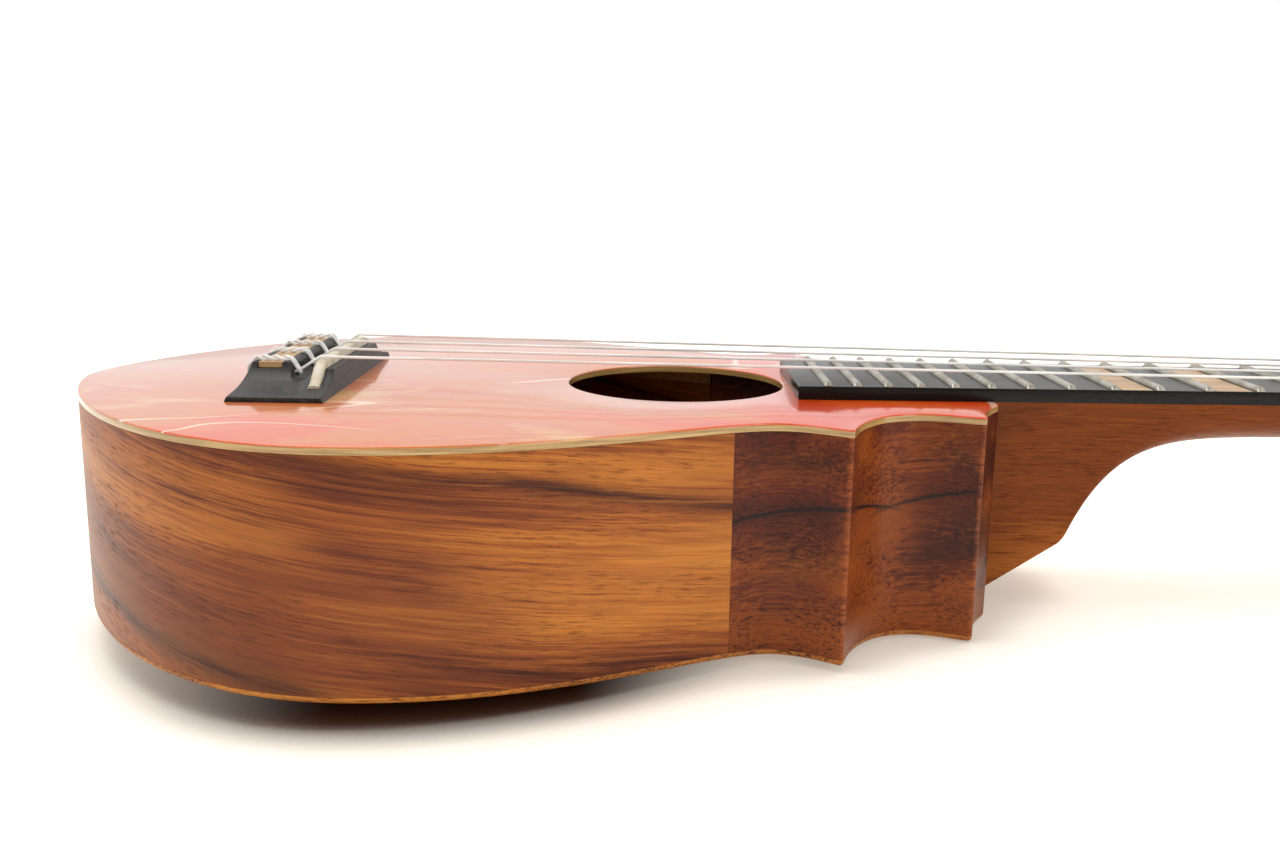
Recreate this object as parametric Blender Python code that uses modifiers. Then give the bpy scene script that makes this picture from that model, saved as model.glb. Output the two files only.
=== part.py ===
"""A ukulele lying on its back: body, neck, fretboard, bridge, four strings and four friction pegs.

Units are metres. +X runs from the tail to the headstock and +Z out of the soundboard. The origin is
in the middle under the whole instrument, so the flat back lies on Z = 0. The treble side is at -Y.
Distances named "along" are counted from the saddle line, the nominal end of the string scale.
"""

import math

import bmesh
import bpy
from mathutils import Matrix, Vector

MM = 0.001
GAP = 0.3 * MM  # left at every glue line and between every piece and its neighbour

# Driving dimensions
SCALE = 381 * MM
FRETS = 20
MARKED_SPACES = (5, 7, 10, 12)
TAIL_ALONG = -70 * MM
HEAD_TIP_ALONG = 520 * MM
BODY_DEPTH = 54.5 * MM
SADDLE_X = -(HEAD_TIP_ALONG - TAIL_ALONG) / 2 - TAIL_ALONG

# Body
TOP_THICK = 1.8 * MM
BACK_THICK = 1.5 * MM
RIM_THICK = 2.0 * MM
BOUT_HALF, BOUT_ALONG = 83 * MM, 13 * MM
WAIST_HALF, WAIST_ALONG = 52.2 * MM, 105 * MM
POINT = (120.6 * MM, 58.8 * MM)  # the pointed shoulder
COVE = (140 * MM, 38.2 * MM)  # the deepest place of the hollow beyond it
HORN = (153.9 * MM, 41.9 * MM)  # the second corner
NECK_CORNER = (161 * MM, 24.5 * MM)  # where the outline meets the flat end face
SPLICE_ALONG = 95 * MM  # the bent side ends and the carved shoulder begins
HOLE_ALONG, HOLE_RADIUS = 83.1 * MM, 27.9 * MM
LINING = (5.0 * MM, 6.2 * MM)  # width and height
POCKET_END = 140 * MM

# Fretboard, frets and nut
BOARD_START = 112.6 * MM
BOARD_TOP = 3.3 * MM  # above the soundboard
BOARD_END_HALF, BOARD_NUT_HALF = 22.5 * MM, 17 * MM
FRET_WIDTH, FRET_HEIGHT = 2.1 * MM, 0.9 * MM
INLAY_DEPTH = 1.4 * MM
NUT_LENGTH = 5 * MM

# Neck and headstock
HEEL_DEPTH, HEEL_CORNER_DEPTH = 51.6 * MM, 37 * MM
HEEL_CORNER = 182 * MM
HEEL_TAPER = 0.11  # how much narrower a side gets with each unit of depth
NECK_DEPTH, NECK_NUT_DEPTH = 11.2 * MM, 10.4 * MM
SWEEP_LENGTH = 8.4 * MM  # the heel's hollow curve dies away over this length
NECK_RING = 14
HEAD_ANGLE = math.radians(9)
HEAD_THICK, VENEER_THICK = 12.5 * MM, 1.5 * MM
HEAD_ALONG = SCALE + NUT_LENGTH + GAP
HEAD_LENGTH = (HEAD_TIP_ALONG - HEAD_ALONG) / math.cos(HEAD_ANGLE)

# Bridge and saddle
BRIDGE_ALONG = (-22.8 * MM, 0.2 * MM)
BRIDGE_RAMP = ((38, 1.3), (33.2, 2.0), (28.5, 2.7), (25.6, 4.2), (23.7, 6.0), (22.8, 7.2))
REAR_SLANT, FRONT_SLANT = 0.3, 0.12
TIE_FRONT = -10.8 * MM
CHANNEL_FRONT, CHANNEL_FLOOR = -6.0 * MM, 3.0 * MM
FRONT_LAND = 5.9 * MM
SADDLE_ALONG = -3.8 * MM
SADDLE_THICK, SADDLE_HALF, SADDLE_TOP = 2.6 * MM, 31 * MM, 7.8 * MM
SLOT_FLOOR = 1.6 * MM
STRIP_ALONG = (-19.1 * MM, -13.2 * MM)
STRIP_THICK = 1.4 * MM

# Strings and pegs
STRING_RADIUS = 0.35 * MM
SADDLE_SPREAD, NUT_SPREAD = 13.8 * MM, 9.4 * MM  # from one string to the next
STRING_AT_SADDLE, STRING_AT_NUT = 8.4 * MM, 5.0 * MM  # above the soundboard
TIE_HOLE_HEIGHT, TIE_HOLE_RADIUS = 4.2 * MM, 0.8 * MM
PEG_ALONG_HEAD = (36 * MM, 76 * MM)
PEG_SIDE = 18 * MM
PEG_RADIUS, PEG_HOLE_RADIUS = 3.0 * MM, 3.4 * MM
POST_HEIGHT, POST_STRING = 9.5 * MM, 5.0 * MM  # above the veneer
PEG_STEPS = 20

TOP = BODY_DEPTH


# Scene, materials and small helpers


def clear_scene():
    for obj in list(bpy.data.objects):
        bpy.data.objects.remove(obj, do_unlink=True)


def new_collection(name):
    collection = bpy.data.collections.new(name)
    bpy.context.scene.collection.children.link(collection)
    return collection


def make_material(name, color, roughness, metallic=0.0):
    material = bpy.data.materials.new(name)
    material.use_nodes = True
    shader = material.node_tree.nodes["Principled BSDF"]
    shader.inputs["Base Color"].default_value = (*color, 1.0)
    shader.inputs["Roughness"].default_value = roughness
    shader.inputs["Metallic"].default_value = metallic
    return material


clear_scene()
PARTS = new_collection("ukulele")
CUTTERS = new_collection("cutters")

LACQUER = make_material("orange_lacquered_top", (0.80, 0.22, 0.08), 0.12)
KOA = make_material("koa", (0.45, 0.20, 0.07), 0.35)
DARK_KOA = make_material("dark_koa", (0.22, 0.08, 0.035), 0.35)
MAHOGANY = make_material("mahogany", (0.36, 0.14, 0.05), 0.40)
EBONY = make_material("ebony", (0.025, 0.022, 0.020), 0.38)
SPRUCE = make_material("spruce", (0.72, 0.55, 0.34), 0.60)
MAPLE = make_material("maple", (0.78, 0.60, 0.40), 0.35)
BONE = make_material("bone", (0.83, 0.77, 0.62), 0.30)
NICKEL = make_material("nickel", (0.72, 0.70, 0.66), 0.25, 1.0)
NYLON = make_material("clear_nylon", (0.85, 0.85, 0.83), 0.20)
BUTTON = make_material("black_button", (0.02, 0.02, 0.02), 0.25)


def at(along, across, height):
    """A place counted from the saddle line, the middle line and the soundboard's face."""
    return Vector((SADDLE_X + along, across, TOP + height))


def add_object(name, data, material, collection=PARTS):
    obj = bpy.data.objects.new(name, data)
    collection.objects.link(obj)
    if material:
        data.materials.append(material)
    return obj


def mesh_from(bm):
    mesh = bpy.data.meshes.new("mesh")
    bmesh.ops.recalc_face_normals(bm, faces=bm.faces)
    bm.to_mesh(mesh)
    bm.free()
    return mesh


def curve_to_mesh(obj):
    """Swaps a curve object for a mesh object with its caps welded to its sides."""
    bpy.context.view_layer.update()
    evaluated = obj.evaluated_get(bpy.context.evaluated_depsgraph_get())
    mesh = bpy.data.meshes.new_from_object(evaluated)
    bm = bmesh.new()
    bm.from_mesh(mesh)
    bmesh.ops.remove_doubles(bm, verts=bm.verts, dist=0.001 * MM)
    bm.to_mesh(mesh)
    bm.free()
    name, matrix, collection = obj.name, obj.matrix_world.copy(), obj.users_collection[0]
    bpy.data.objects.remove(obj, do_unlink=True)
    solid = bpy.data.objects.new(name, mesh)
    solid.matrix_world = matrix
    collection.objects.link(solid)
    return solid


def flat_piece(name, loops, low, high, material, collection=PARTS):
    """A plate of even thickness: the first loop is its outline and the others are holes."""
    curve = bpy.data.curves.new(name, "CURVE")
    curve.dimensions = "2D"
    curve.fill_mode = "BOTH"
    curve.extrude = (high - low) / 2
    for loop in loops:
        spline = curve.splines.new("POLY")
        spline.points.add(len(loop) - 1)
        for point, (x, y) in zip(spline.points, loop):
            point.co = (x, y, 0, 1)
        spline.use_cyclic_u = True
    obj = add_object(name, curve, material, collection)
    obj.location.z = (low + high) / 2
    return curve_to_mesh(obj)


def loft(name, rings, material):
    """A closed skin through rings with the same number of points, with a cap on each end."""
    bm = bmesh.new()
    loops = [[bm.verts.new(point) for point in ring] for ring in rings]
    for first, second in zip(loops, loops[1:]):
        for i in range(len(first)):
            j = (i + 1) % len(first)
            bm.faces.new((first[i], first[j], second[j], second[i]))
    bm.faces.new(loops[0])
    bm.faces.new(reversed(loops[-1]))
    return add_object(name, mesh_from(bm), material)


def box(name, low, high, material, rounding=0.0, collection=PARTS):
    bm = bmesh.new()
    bmesh.ops.create_cube(bm, size=1.0)
    size = [b - a for a, b in zip(low, high)]
    middle = [(a + b) / 2 for a, b in zip(low, high)]
    bmesh.ops.scale(bm, vec=size, verts=bm.verts)
    obj = add_object(name, mesh_from(bm), material, collection)
    obj.location = middle
    if rounding:
        bevel = obj.modifiers.new("rounded_edges", "BEVEL")
        bevel.width = rounding
        bevel.segments = 2
    return obj


def turned(name, profile, material, steps=PEG_STEPS):
    """A shape turned about its own Z, from (radius, height) pairs that run down its outer side."""
    bm = bmesh.new()
    verts = [bm.verts.new((radius, 0, height)) for radius, height in profile]
    for first, second in zip(verts, verts[1:]):
        bm.edges.new((first, second))
    mesh = bpy.data.meshes.new(name)
    bm.to_mesh(mesh)
    bm.free()
    obj = add_object(name, mesh, material)
    screw = obj.modifiers.new("turned", "SCREW")
    screw.steps = screw.render_steps = steps
    screw.use_merge_vertices = True
    screw.merge_threshold = 0.01 * MM
    screw.use_smooth_shade = True
    return obj


def rod_cutter(name, start, end, radius):
    bm = bmesh.new()
    length = (end - start).length
    bmesh.ops.create_cone(
        bm, cap_ends=True, segments=PEG_STEPS, radius1=radius, radius2=radius, depth=length
    )
    cutter = add_object(name, mesh_from(bm), None, CUTTERS)
    cutter.location = (start + end) / 2
    cutter.rotation_euler = (end - start).to_track_quat("Z", "Y").to_euler()
    return cutter


def cut(target, cutter):
    cutter.hide_render = True
    cutter.display_type = "WIRE"
    boolean = target.modifiers.new("cut_" + cutter.name, "BOOLEAN")
    boolean.operation = "DIFFERENCE"
    boolean.object = cutter


def bezier(p0, p1, p2, p3, count):
    """Points along a cubic Bezier, without its last one."""
    points = []
    for i in range(count):
        t = i / count
        u = 1 - t
        weights = (u**3, 3 * u * u * t, 3 * u * t * t, t**3)
        points.append(
            tuple(sum(w * p[k] for w, p in zip(weights, (p0, p1, p2, p3))) for k in (0, 1))
        )
    return points


def circle(x, y, radius, count):
    turn = 2 * math.pi / count
    return [
        (x + radius * math.cos(i * turn), y + radius * math.sin(i * turn)) for i in range(count)
    ]


def placed(points, side=1):
    """Outline points moved from the saddle line into the part's frame, on one side or the other."""
    return [(SADDLE_X + x, side * y) for x, y in points]


# The body's outline, one half, from the tail to the neck


def bout_outline():
    """From the middle of the tail round the lower bout to the waist."""
    tail, bout, waist = (TAIL_ALONG, 0), (BOUT_ALONG, BOUT_HALF), (WAIST_ALONG, WAIST_HALF)
    tail_handle = (TAIL_ALONG, 20 * MM)
    points = bezier(tail, tail_handle, (BOUT_ALONG - 52 * MM, BOUT_HALF), bout, 16)
    bout_handle, waist_handle = (58 * MM, BOUT_HALF), (WAIST_ALONG - 14.6 * MM, WAIST_HALF)
    return points + bezier(bout, bout_handle, waist_handle, waist, 16)


def shoulder_outline():
    """From the waist over the two corners and the cove between them to the neck."""
    waist = (WAIST_ALONG, WAIST_HALF)
    points = bezier(waist, (111 * MM, WAIST_HALF), (116 * MM, 56 * MM), POINT, 5)
    points += bezier(POINT, (123 * MM, 50 * MM), (129 * MM, COVE[1]), COVE, 9)
    points += bezier(COVE, (146 * MM, COVE[1]), (150 * MM, 41.3 * MM), HORN, 5)
    points += bezier(HORN, (154.6 * MM, 36 * MM), (156.6 * MM, 30.5 * MM), NECK_CORNER, 5)
    return points + [NECK_CORNER]


def half_at(points, along):
    """Half the outline's width at a distance from the saddle line."""
    for (x0, y0), (x1, y1) in zip(points, points[1:]):
        if x0 <= along <= x1:
            return y0 + (y1 - y0) * (along - x0) / (x1 - x0)
    raise ValueError("outside the outline")


def inset(points, distance):
    """The same curve moved inwards, square to itself. It starts on the middle line."""
    moved = []
    for i, (x, y) in enumerate(points):
        x0, y0 = points[i - 1] if i else (points[1][0], -points[1][1])
        x1, y1 = points[min(i + 1, len(points) - 1)]
        run, rise = x1 - x0, y1 - y0
        length = math.hypot(run, rise)
        moved.append((x + distance * rise / length, y - distance * run / length))
    return moved


def up_to(points, along):
    """The stretch of a curve before a distance from the saddle line, with its end point there."""
    kept = [point for point in points if point[0] < along]
    return kept + [(along, half_at(points, along))]


BOUT = bout_outline()
SHOULDER = shoulder_outline()
HALF_BODY = BOUT + SHOULDER


def whole_outline():
    return placed(HALF_BODY) + placed(reversed(HALF_BODY[1:]), -1)


# Body pieces


def make_plates():
    outline = whole_outline()
    hole = circle(SADDLE_X + HOLE_ALONG, 0, HOLE_RADIUS, 48)
    flat_piece("soundboard", [outline, hole], TOP - TOP_THICK, TOP, LACQUER)
    flat_piece("back_plate", [outline], 0, BACK_THICK, KOA)


RIM_LOW = BACK_THICK + GAP
RIM_HIGH = TOP - TOP_THICK - GAP


def make_rims():
    """The two bent sides meet in a seam at the tail and end at the shoulders."""
    outer = up_to(BOUT + SHOULDER[:1], SPLICE_ALONG)
    inner = up_to(inset(BOUT + SHOULDER[:1], RIM_THICK), SPLICE_ALONG)
    for name, side in (("rim_treble", -1), ("rim_bass", 1)):
        strip = outer + list(reversed(inner))
        loop = [(x, max(y, GAP / 2)) for x, y in strip]
        flat_piece(name, [placed(loop, side)], RIM_LOW, RIM_HIGH, KOA)


def make_shoulder_block():
    """One carved block forms both shoulders and the end that the neck is glued to."""
    start = SPLICE_ALONG + GAP
    outer = [(start, half_at(HALF_BODY, start))]
    outer += [point for point in HALF_BODY if point[0] > start]
    wall = (start, 44 * MM)
    rear, front = (112 * MM, 43 * MM), (POCKET_END, 33 * MM)
    pocket = bezier(wall, rear, front, (POCKET_END, 0), 12) + [(POCKET_END, 0)]
    half = outer + [(NECK_CORNER[0], 0)]
    loop = placed(half) + placed(list(reversed(half))[1:], -1)
    loop += placed(pocket, -1) + placed(list(reversed(pocket))[1:])
    flat_piece("shoulder_block", [loop], RIM_LOW, RIM_HIGH, DARK_KOA)


def make_linings():
    """A strip inside the rims at the top and one at the back widen the glue lines."""
    width, height = LINING
    end = SPLICE_ALONG - GAP
    outer = up_to(inset(BOUT + SHOULDER[:1], RIM_THICK + GAP), end)
    inner = up_to(inset(BOUT + SHOULDER[:1], RIM_THICK + GAP + width), end)
    ring = placed(outer) + placed(reversed(inner))
    ring += placed(inner[1:], -1) + placed(reversed(outer[1:]), -1)
    flat_piece("back_lining", [ring], RIM_LOW, RIM_LOW + height, SPRUCE)
    flat_piece("top_lining", [ring], RIM_HIGH - height, RIM_HIGH, SPRUCE)


def make_tail_block():
    reach, half_width = 13 * MM, 24 * MM
    curve = inset(BOUT, RIM_THICK + GAP)
    face = [point for point in curve if point[1] < half_width]
    loop = placed(face) + [(SADDLE_X + TAIL_ALONG + reach, face[-1][1])]
    loop += [(SADDLE_X + TAIL_ALONG + reach, -face[-1][1])] + placed(reversed(face[1:]), -1)
    low = RIM_LOW + LINING[1] + GAP
    flat_piece("tail_block", [loop], low, RIM_HIGH - LINING[1] - GAP, MAHOGANY)


def make_braces():
    width, height = 6 * MM, 6.5 * MM
    clear = RIM_THICK + LINING[0] + 5 * MM
    places = (
        ("top_brace_lower", 46 * MM, half_at(BOUT, 46 * MM) - clear, True),
        ("top_brace_upper", 119 * MM, 33 * MM, True),
        ("back_brace_lower", 0.0, half_at(BOUT, 0.0) - clear, False),
        ("back_brace_upper", 76 * MM, half_at(BOUT, 76 * MM) - clear, False),
    )
    for name, along, half, at_top in places:
        low = RIM_HIGH - height if at_top else RIM_LOW
        corner = (SADDLE_X + along - width / 2, -half, low)
        opposite = (SADDLE_X + along + width / 2, half, low + height)
        box(name, corner, opposite, SPRUCE, rounding=1.2 * MM)


def make_bridge_plate():
    low = at(-30 * MM, -36 * MM, 0)
    high = at(8 * MM, 36 * MM, 0)
    box("bridge_plate", (low.x, low.y, RIM_HIGH - 1.8 * MM), (high.x, high.y, RIM_HIGH), MAPLE)


# Fretboard, frets, inlays and nut


def board_half(along):
    share = (along - BOARD_START) / (SCALE - BOARD_START)
    return BOARD_END_HALF + (BOARD_NUT_HALF - BOARD_END_HALF) * share


def fret_along(number):
    return SCALE * 2 ** (-number / 12)


def inlay_loop(number, margin):
    """The outline of a space's block inlay, or with a margin of the pocket it lies in."""
    reach = FRET_WIDTH / 2 + 3 * GAP - margin
    start, end = fret_along(number) + reach, fret_along(number - 1) - reach
    edge = 0.8 * MM - margin
    corners = [(start, board_half(start) - edge), (end, board_half(end) - edge)]
    return placed(corners) + placed(reversed(corners), -1)


def make_fretboard():
    corners = [(BOARD_START, BOARD_END_HALF), (SCALE - GAP, board_half(SCALE - GAP))]
    loop = placed(corners) + placed(reversed(corners), -1)
    board = flat_piece("fretboard", [loop], TOP + GAP, TOP + BOARD_TOP, EBONY)
    for number in MARKED_SPACES:
        low, high = TOP + BOARD_TOP - INLAY_DEPTH, TOP + BOARD_TOP
        flat_piece(f"inlay_{number:02d}", [inlay_loop(number, 0)], low, high, MAPLE)
        pocket_name = f"inlay_pocket_{number:02d}"
        pocket = flat_piece(
            pocket_name, [inlay_loop(number, GAP)], low - GAP, high + MM, None, CUTTERS
        )
        cut(board, pocket)


def make_frets():
    """Each fret is a half-round crown that lies across the board."""
    arc = [(FRET_WIDTH / 2 * math.cos(a), FRET_HEIGHT * math.sin(a)) for a in
           (math.pi * i / 8 for i in range(9))]
    for number in range(1, FRETS + 1):
        along = fret_along(number)
        half = board_half(along) - 0.4 * MM
        rings = [
            [at(along + x, side, BOARD_TOP + GAP + z) for x, z in arc] for side in (-half, half)
        ]
        loft(f"fret_{number:02d}", rings, NICKEL)


def make_nut():
    """The nut's face is square to the board, and its top falls away towards the pegs."""
    top = STRING_AT_NUT - STRING_RADIUS - GAP
    profile = [
        (SCALE, GAP),
        (SCALE, top),
        (SCALE + 2 * MM, top),
        (SCALE + NUT_LENGTH, top - 1.2 * MM),
        (SCALE + NUT_LENGTH, GAP),
    ]
    rings = [[at(x, side, z) for x, z in profile] for side in (-BOARD_NUT_HALF, BOARD_NUT_HALF)]
    loft("nut", rings, BONE)


# Neck and headstock


def head_half_outline():
    """Half the headstock's outline: (distance along its face, half width)."""
    root, cheek = (0, BOARD_NUT_HALF), (26 * MM, 27 * MM)
    ear, tip = (HEAD_LENGTH - 31 * MM, 28.5 * MM), (HEAD_LENGTH, 0)
    points = bezier(root, (9 * MM, BOARD_NUT_HALF), (10 * MM, 26.5 * MM), cheek, 8)
    points += bezier(cheek, (55 * MM, 28 * MM), (80 * MM, 29 * MM), ear, 4)
    points += bezier(ear, (ear[0] + 17 * MM, 27.5 * MM), (HEAD_LENGTH, 17 * MM), tip, 10)
    return points + [tip]


def head_point(distance, across, height):
    """A place on the headstock: along its face, across it and above the veneer's face."""
    origin = at(HEAD_ALONG, 0, -0.1 * MM)
    forward = Vector((math.cos(HEAD_ANGLE), 0, -math.sin(HEAD_ANGLE)))
    up = Vector((math.sin(HEAD_ANGLE), 0, math.cos(HEAD_ANGLE)))
    return origin + forward * distance + up * height + Vector((0, across, 0))


def neck_ring(along, drop, half, depth, boxiness):
    """A cross-section, flat on top: round below where boxiness is 0 and square where it is 1."""
    power = 2 / (2.3 + 26 * boxiness**2)
    ring = []
    for i in range(NECK_RING + 1):
        angle = math.pi * i / NECK_RING
        down = depth * abs(math.sin(angle)) ** power if 0 < i < NECK_RING else 0.0
        reach = (half - HEEL_TAPER * boxiness * down) * abs(math.cos(angle)) ** power
        ring.append(at(along, math.copysign(reach, math.cos(angle)), -drop - down))
    return ring


def neck_rings():
    """The heel's slanted foot, its hollow sweep and the shaft up to the nut."""
    start = NECK_CORNER[0] + GAP
    rings = []
    for along in (start, start + 9 * MM, HEEL_CORNER - 1.2 * MM):
        share = (along - start) / (HEEL_CORNER - start)
        depth = HEEL_DEPTH + (HEEL_CORNER_DEPTH - HEEL_DEPTH) * share
        rings.append(neck_ring(along, 0, board_half(along), depth, 1))
    beyond = (0.5, 1.2, 2.2, 3.8, 6, 8.6, 12, 16.5, 22.5, 31, 45, 80, 120, 160, 190)
    for distance in (step * MM for step in beyond):
        along = HEEL_CORNER + distance
        fade = math.exp(-distance / SWEEP_LENGTH)
        shaft = NECK_DEPTH + (NECK_NUT_DEPTH - NECK_DEPTH) * distance / (SCALE - HEEL_CORNER)
        depth = shaft + (HEEL_CORNER_DEPTH - NECK_DEPTH) * fade
        rings.append(neck_ring(along, 0, board_half(along), depth, math.sqrt(fade)))
    rings.append(neck_ring(SCALE, 0, BOARD_NUT_HALF, NECK_NUT_DEPTH, 0.05))
    rings.append(neck_ring(HEAD_ALONG, 0, BOARD_NUT_HALF, NECK_NUT_DEPTH, 0.15))
    return rings


def head_rings():
    """The headstock leans back, and its face lies a veneer's thickness lower."""
    rings = []
    recess = (VENEER_THICK + GAP) / math.cos(HEAD_ANGLE) + 0.1 * MM
    for distance, half in head_half_outline():
        advance = distance * math.cos(HEAD_ANGLE)
        drop = recess + distance * math.sin(HEAD_ANGLE)
        squareness = min(1, 0.15 + distance / (20 * MM))
        depth = NECK_NUT_DEPTH + (HEAD_THICK - NECK_NUT_DEPTH) * min(1, distance / (26 * MM))
        along = HEAD_ALONG + 0.4 * MM + advance * (1 - 0.4 * MM / (HEAD_TIP_ALONG - HEAD_ALONG))
        rings.append(neck_ring(along, drop, max(half, 2 * MM), depth, squareness))
    return rings


def peg_places():
    """String number, distance along the headstock and side of each peg, treble string first."""
    low, high = PEG_ALONG_HEAD
    return (
        (1, low, -PEG_SIDE),
        (2, high, -PEG_SIDE),
        (3, high, PEG_SIDE),
        (4, low, PEG_SIDE),
    )


def make_neck():
    neck = loft("neck", neck_rings() + head_rings(), MAHOGANY)
    for number, distance, across in peg_places():
        start = head_point(distance, across, -HEAD_THICK - 12 * MM)
        end = head_point(distance, across, 4 * MM)
        cut(neck, rod_cutter(f"peg_hole_{number}", start, end, PEG_HOLE_RADIUS))


def make_veneer():
    """A thin ebony plate faces the headstock, with a hole for each peg."""
    start = MM
    half = [(start, BOARD_NUT_HALF)] + [point for point in head_half_outline() if point[0] > start]
    loop = half + [(x, -y) for x, y in reversed(half[:-1])]
    holes = [
        circle(distance, across, PEG_HOLE_RADIUS, PEG_STEPS) for _, distance, across in peg_places()
    ]
    veneer = flat_piece("headstock_veneer", [loop] + holes, -VENEER_THICK, 0, EBONY)
    lean = Matrix.Rotation(HEAD_ANGLE, 4, "Y")
    veneer.matrix_world = (
        Matrix.Translation(head_point(0, 0, 0)) @ lean @ Matrix.Translation((0, 0, -VENEER_THICK / 2))
    )


# Bridge, saddle and the strip on the tie block


def bridge_ring(across, height):
    rear, front = BRIDGE_ALONG
    return [
        at(rear, across, GAP),
        at(front, across, GAP),
        at(front - FRONT_SLANT * height, across, height),
        at(rear + REAR_SLANT * height, across, height),
    ]


def make_bridge():
    """A tie bridge: hollow ramps rise to the tie block, the string channel and the saddle slot."""
    steps = [(side * MM, height * MM) for side, height in BRIDGE_RAMP]
    rings = [bridge_ring(-side, height) for side, height in steps]
    rings += [bridge_ring(side, height) for side, height in reversed(steps)]
    bridge = loft("bridge", rings, EBONY)
    half = BRIDGE_RAMP[0][0] * MM + MM
    above = 10 * MM
    slot_rear = SADDLE_ALONG - SADDLE_THICK / 2 - GAP
    slot_front = SADDLE_ALONG + SADDLE_THICK / 2 + GAP
    cuts = (
        ("front_land", TIE_FRONT, MM, FRONT_LAND, half),
        ("string_channel", TIE_FRONT, CHANNEL_FRONT, CHANNEL_FLOOR, half),
        ("saddle_slot", slot_rear, slot_front, SLOT_FLOOR, SADDLE_HALF + GAP),
        (
            "strip_groove",
            STRIP_ALONG[0] - GAP,
            STRIP_ALONG[1] + GAP,
            BRIDGE_RAMP[-1][1] * MM - STRIP_THICK - GAP,
            half,
        ),
    )
    for name, rear, front, floor, reach in cuts:
        cutter = box(name, at(rear, -reach, floor), at(front, reach, above), None, 0, CUTTERS)
        cut(bridge, cutter)
    for number in range(1, 5):
        across = string_across(number, SADDLE_SPREAD)
        start = at(BRIDGE_ALONG[0] - MM, across, TIE_HOLE_HEIGHT)
        end = at(TIE_FRONT + MM, across, TIE_HOLE_HEIGHT)
        cut(bridge, rod_cutter(f"tie_hole_{number}", start, end, TIE_HOLE_RADIUS))


def make_saddle():
    """Its ends follow the ramps down into the wings."""
    floor = SLOT_FLOOR + GAP
    half = bezier(
        (SADDLE_HALF, 2.9 * MM), (27.5 * MM, 3.6 * MM), (25 * MM, SADDLE_TOP), (19 * MM, SADDLE_TOP), 7
    )
    top = half + [(19 * MM, SADDLE_TOP), (-19 * MM, SADDLE_TOP)]
    top += [(-y, z) for y, z in reversed(half)]
    outline = [(SADDLE_HALF, floor)] + top + [(-SADDLE_HALF, floor)]
    sides = (SADDLE_ALONG - SADDLE_THICK / 2, SADDLE_ALONG + SADDLE_THICK / 2)
    loft("saddle", [[at(x, y, z) for y, z in outline] for x in sides], BONE)


def make_tie_strip():
    top = BRIDGE_RAMP[-1][1] * MM
    half = BRIDGE_RAMP[-1][0] * MM
    low, high = at(STRIP_ALONG[0], -half, top - STRIP_THICK), at(STRIP_ALONG[1], half, top)
    box("tie_block_strip", low, high, MAPLE)


# Strings


def string_across(number, spread):
    return (number - 2.5) * spread


def make_strings():
    """Each string runs from behind the tie block over saddle and nut to the side of its peg."""
    for number, distance, across in peg_places():
        saddle_side = string_across(number, SADDLE_SPREAD)
        nut_side = string_across(number, NUT_SPREAD)
        stand_off = PEG_RADIUS + STRING_RADIUS + GAP
        peg_side = across - math.copysign(stand_off, across)
        route = [
            at(BRIDGE_ALONG[0] - 0.5 * MM, saddle_side, TIE_HOLE_HEIGHT),
            at(TIE_FRONT, saddle_side, TIE_HOLE_HEIGHT),
            at(SADDLE_ALONG - SADDLE_THICK / 2, saddle_side, STRING_AT_SADDLE),
            at(SCALE + MM, nut_side, STRING_AT_NUT),
            head_point(distance, peg_side, POST_STRING),
        ]
        curve = bpy.data.curves.new(f"string_{number}", "CURVE")
        curve.dimensions = "3D"
        curve.bevel_depth = STRING_RADIUS
        curve.bevel_resolution = 2
        curve.use_fill_caps = True
        spline = curve.splines.new("POLY")
        spline.points.add(len(route) - 1)
        for point, place in zip(spline.points, route):
            point.co = (*place, 1)
        add_object(f"string_{number}", curve, NYLON)


# Friction pegs


def peg_empty(number, distance, across):
    """An empty on the peg's axis, where the axis meets the veneer's face."""
    empty = bpy.data.objects.new(f"peg_axis_{number}", None)
    PARTS.objects.link(empty)
    empty.location = head_point(distance, across, 0)
    empty.rotation_euler = (0, HEAD_ANGLE, 0)
    return empty


def make_pegs():
    below = -(VENEER_THICK + GAP + HEAD_THICK)
    shaft_end = below - 2.4 * MM
    for number, distance, across in peg_places():
        axis = peg_empty(number, distance, across)
        shaft = turned(
            f"peg_shaft_{number}",
            [
                (0, POST_HEIGHT),
                (PEG_RADIUS - 0.5 * MM, POST_HEIGHT),
                (PEG_RADIUS, POST_HEIGHT - 0.5 * MM),
                (PEG_RADIUS, below - 0.5 * MM),
                (5 * MM, below - 0.5 * MM),
                (5 * MM, shaft_end + 0.3 * MM),
                (4.7 * MM, shaft_end),
                (0, shaft_end),
            ],
            NICKEL,
        )
        bushing = turned(
            f"peg_bushing_{number}",
            [
                (PEG_HOLE_RADIUS, 1.5 * MM),
                (4.6 * MM, 1.5 * MM),
                (5.2 * MM, 0.9 * MM),
                (5.2 * MM, GAP),
                (PEG_HOLE_RADIUS, GAP),
                (PEG_HOLE_RADIUS, 1.5 * MM),
            ],
            NICKEL,
        )
        button = make_button(number, shaft_end - GAP)
        for piece in (shaft, bushing, button):
            piece.parent = axis


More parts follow.
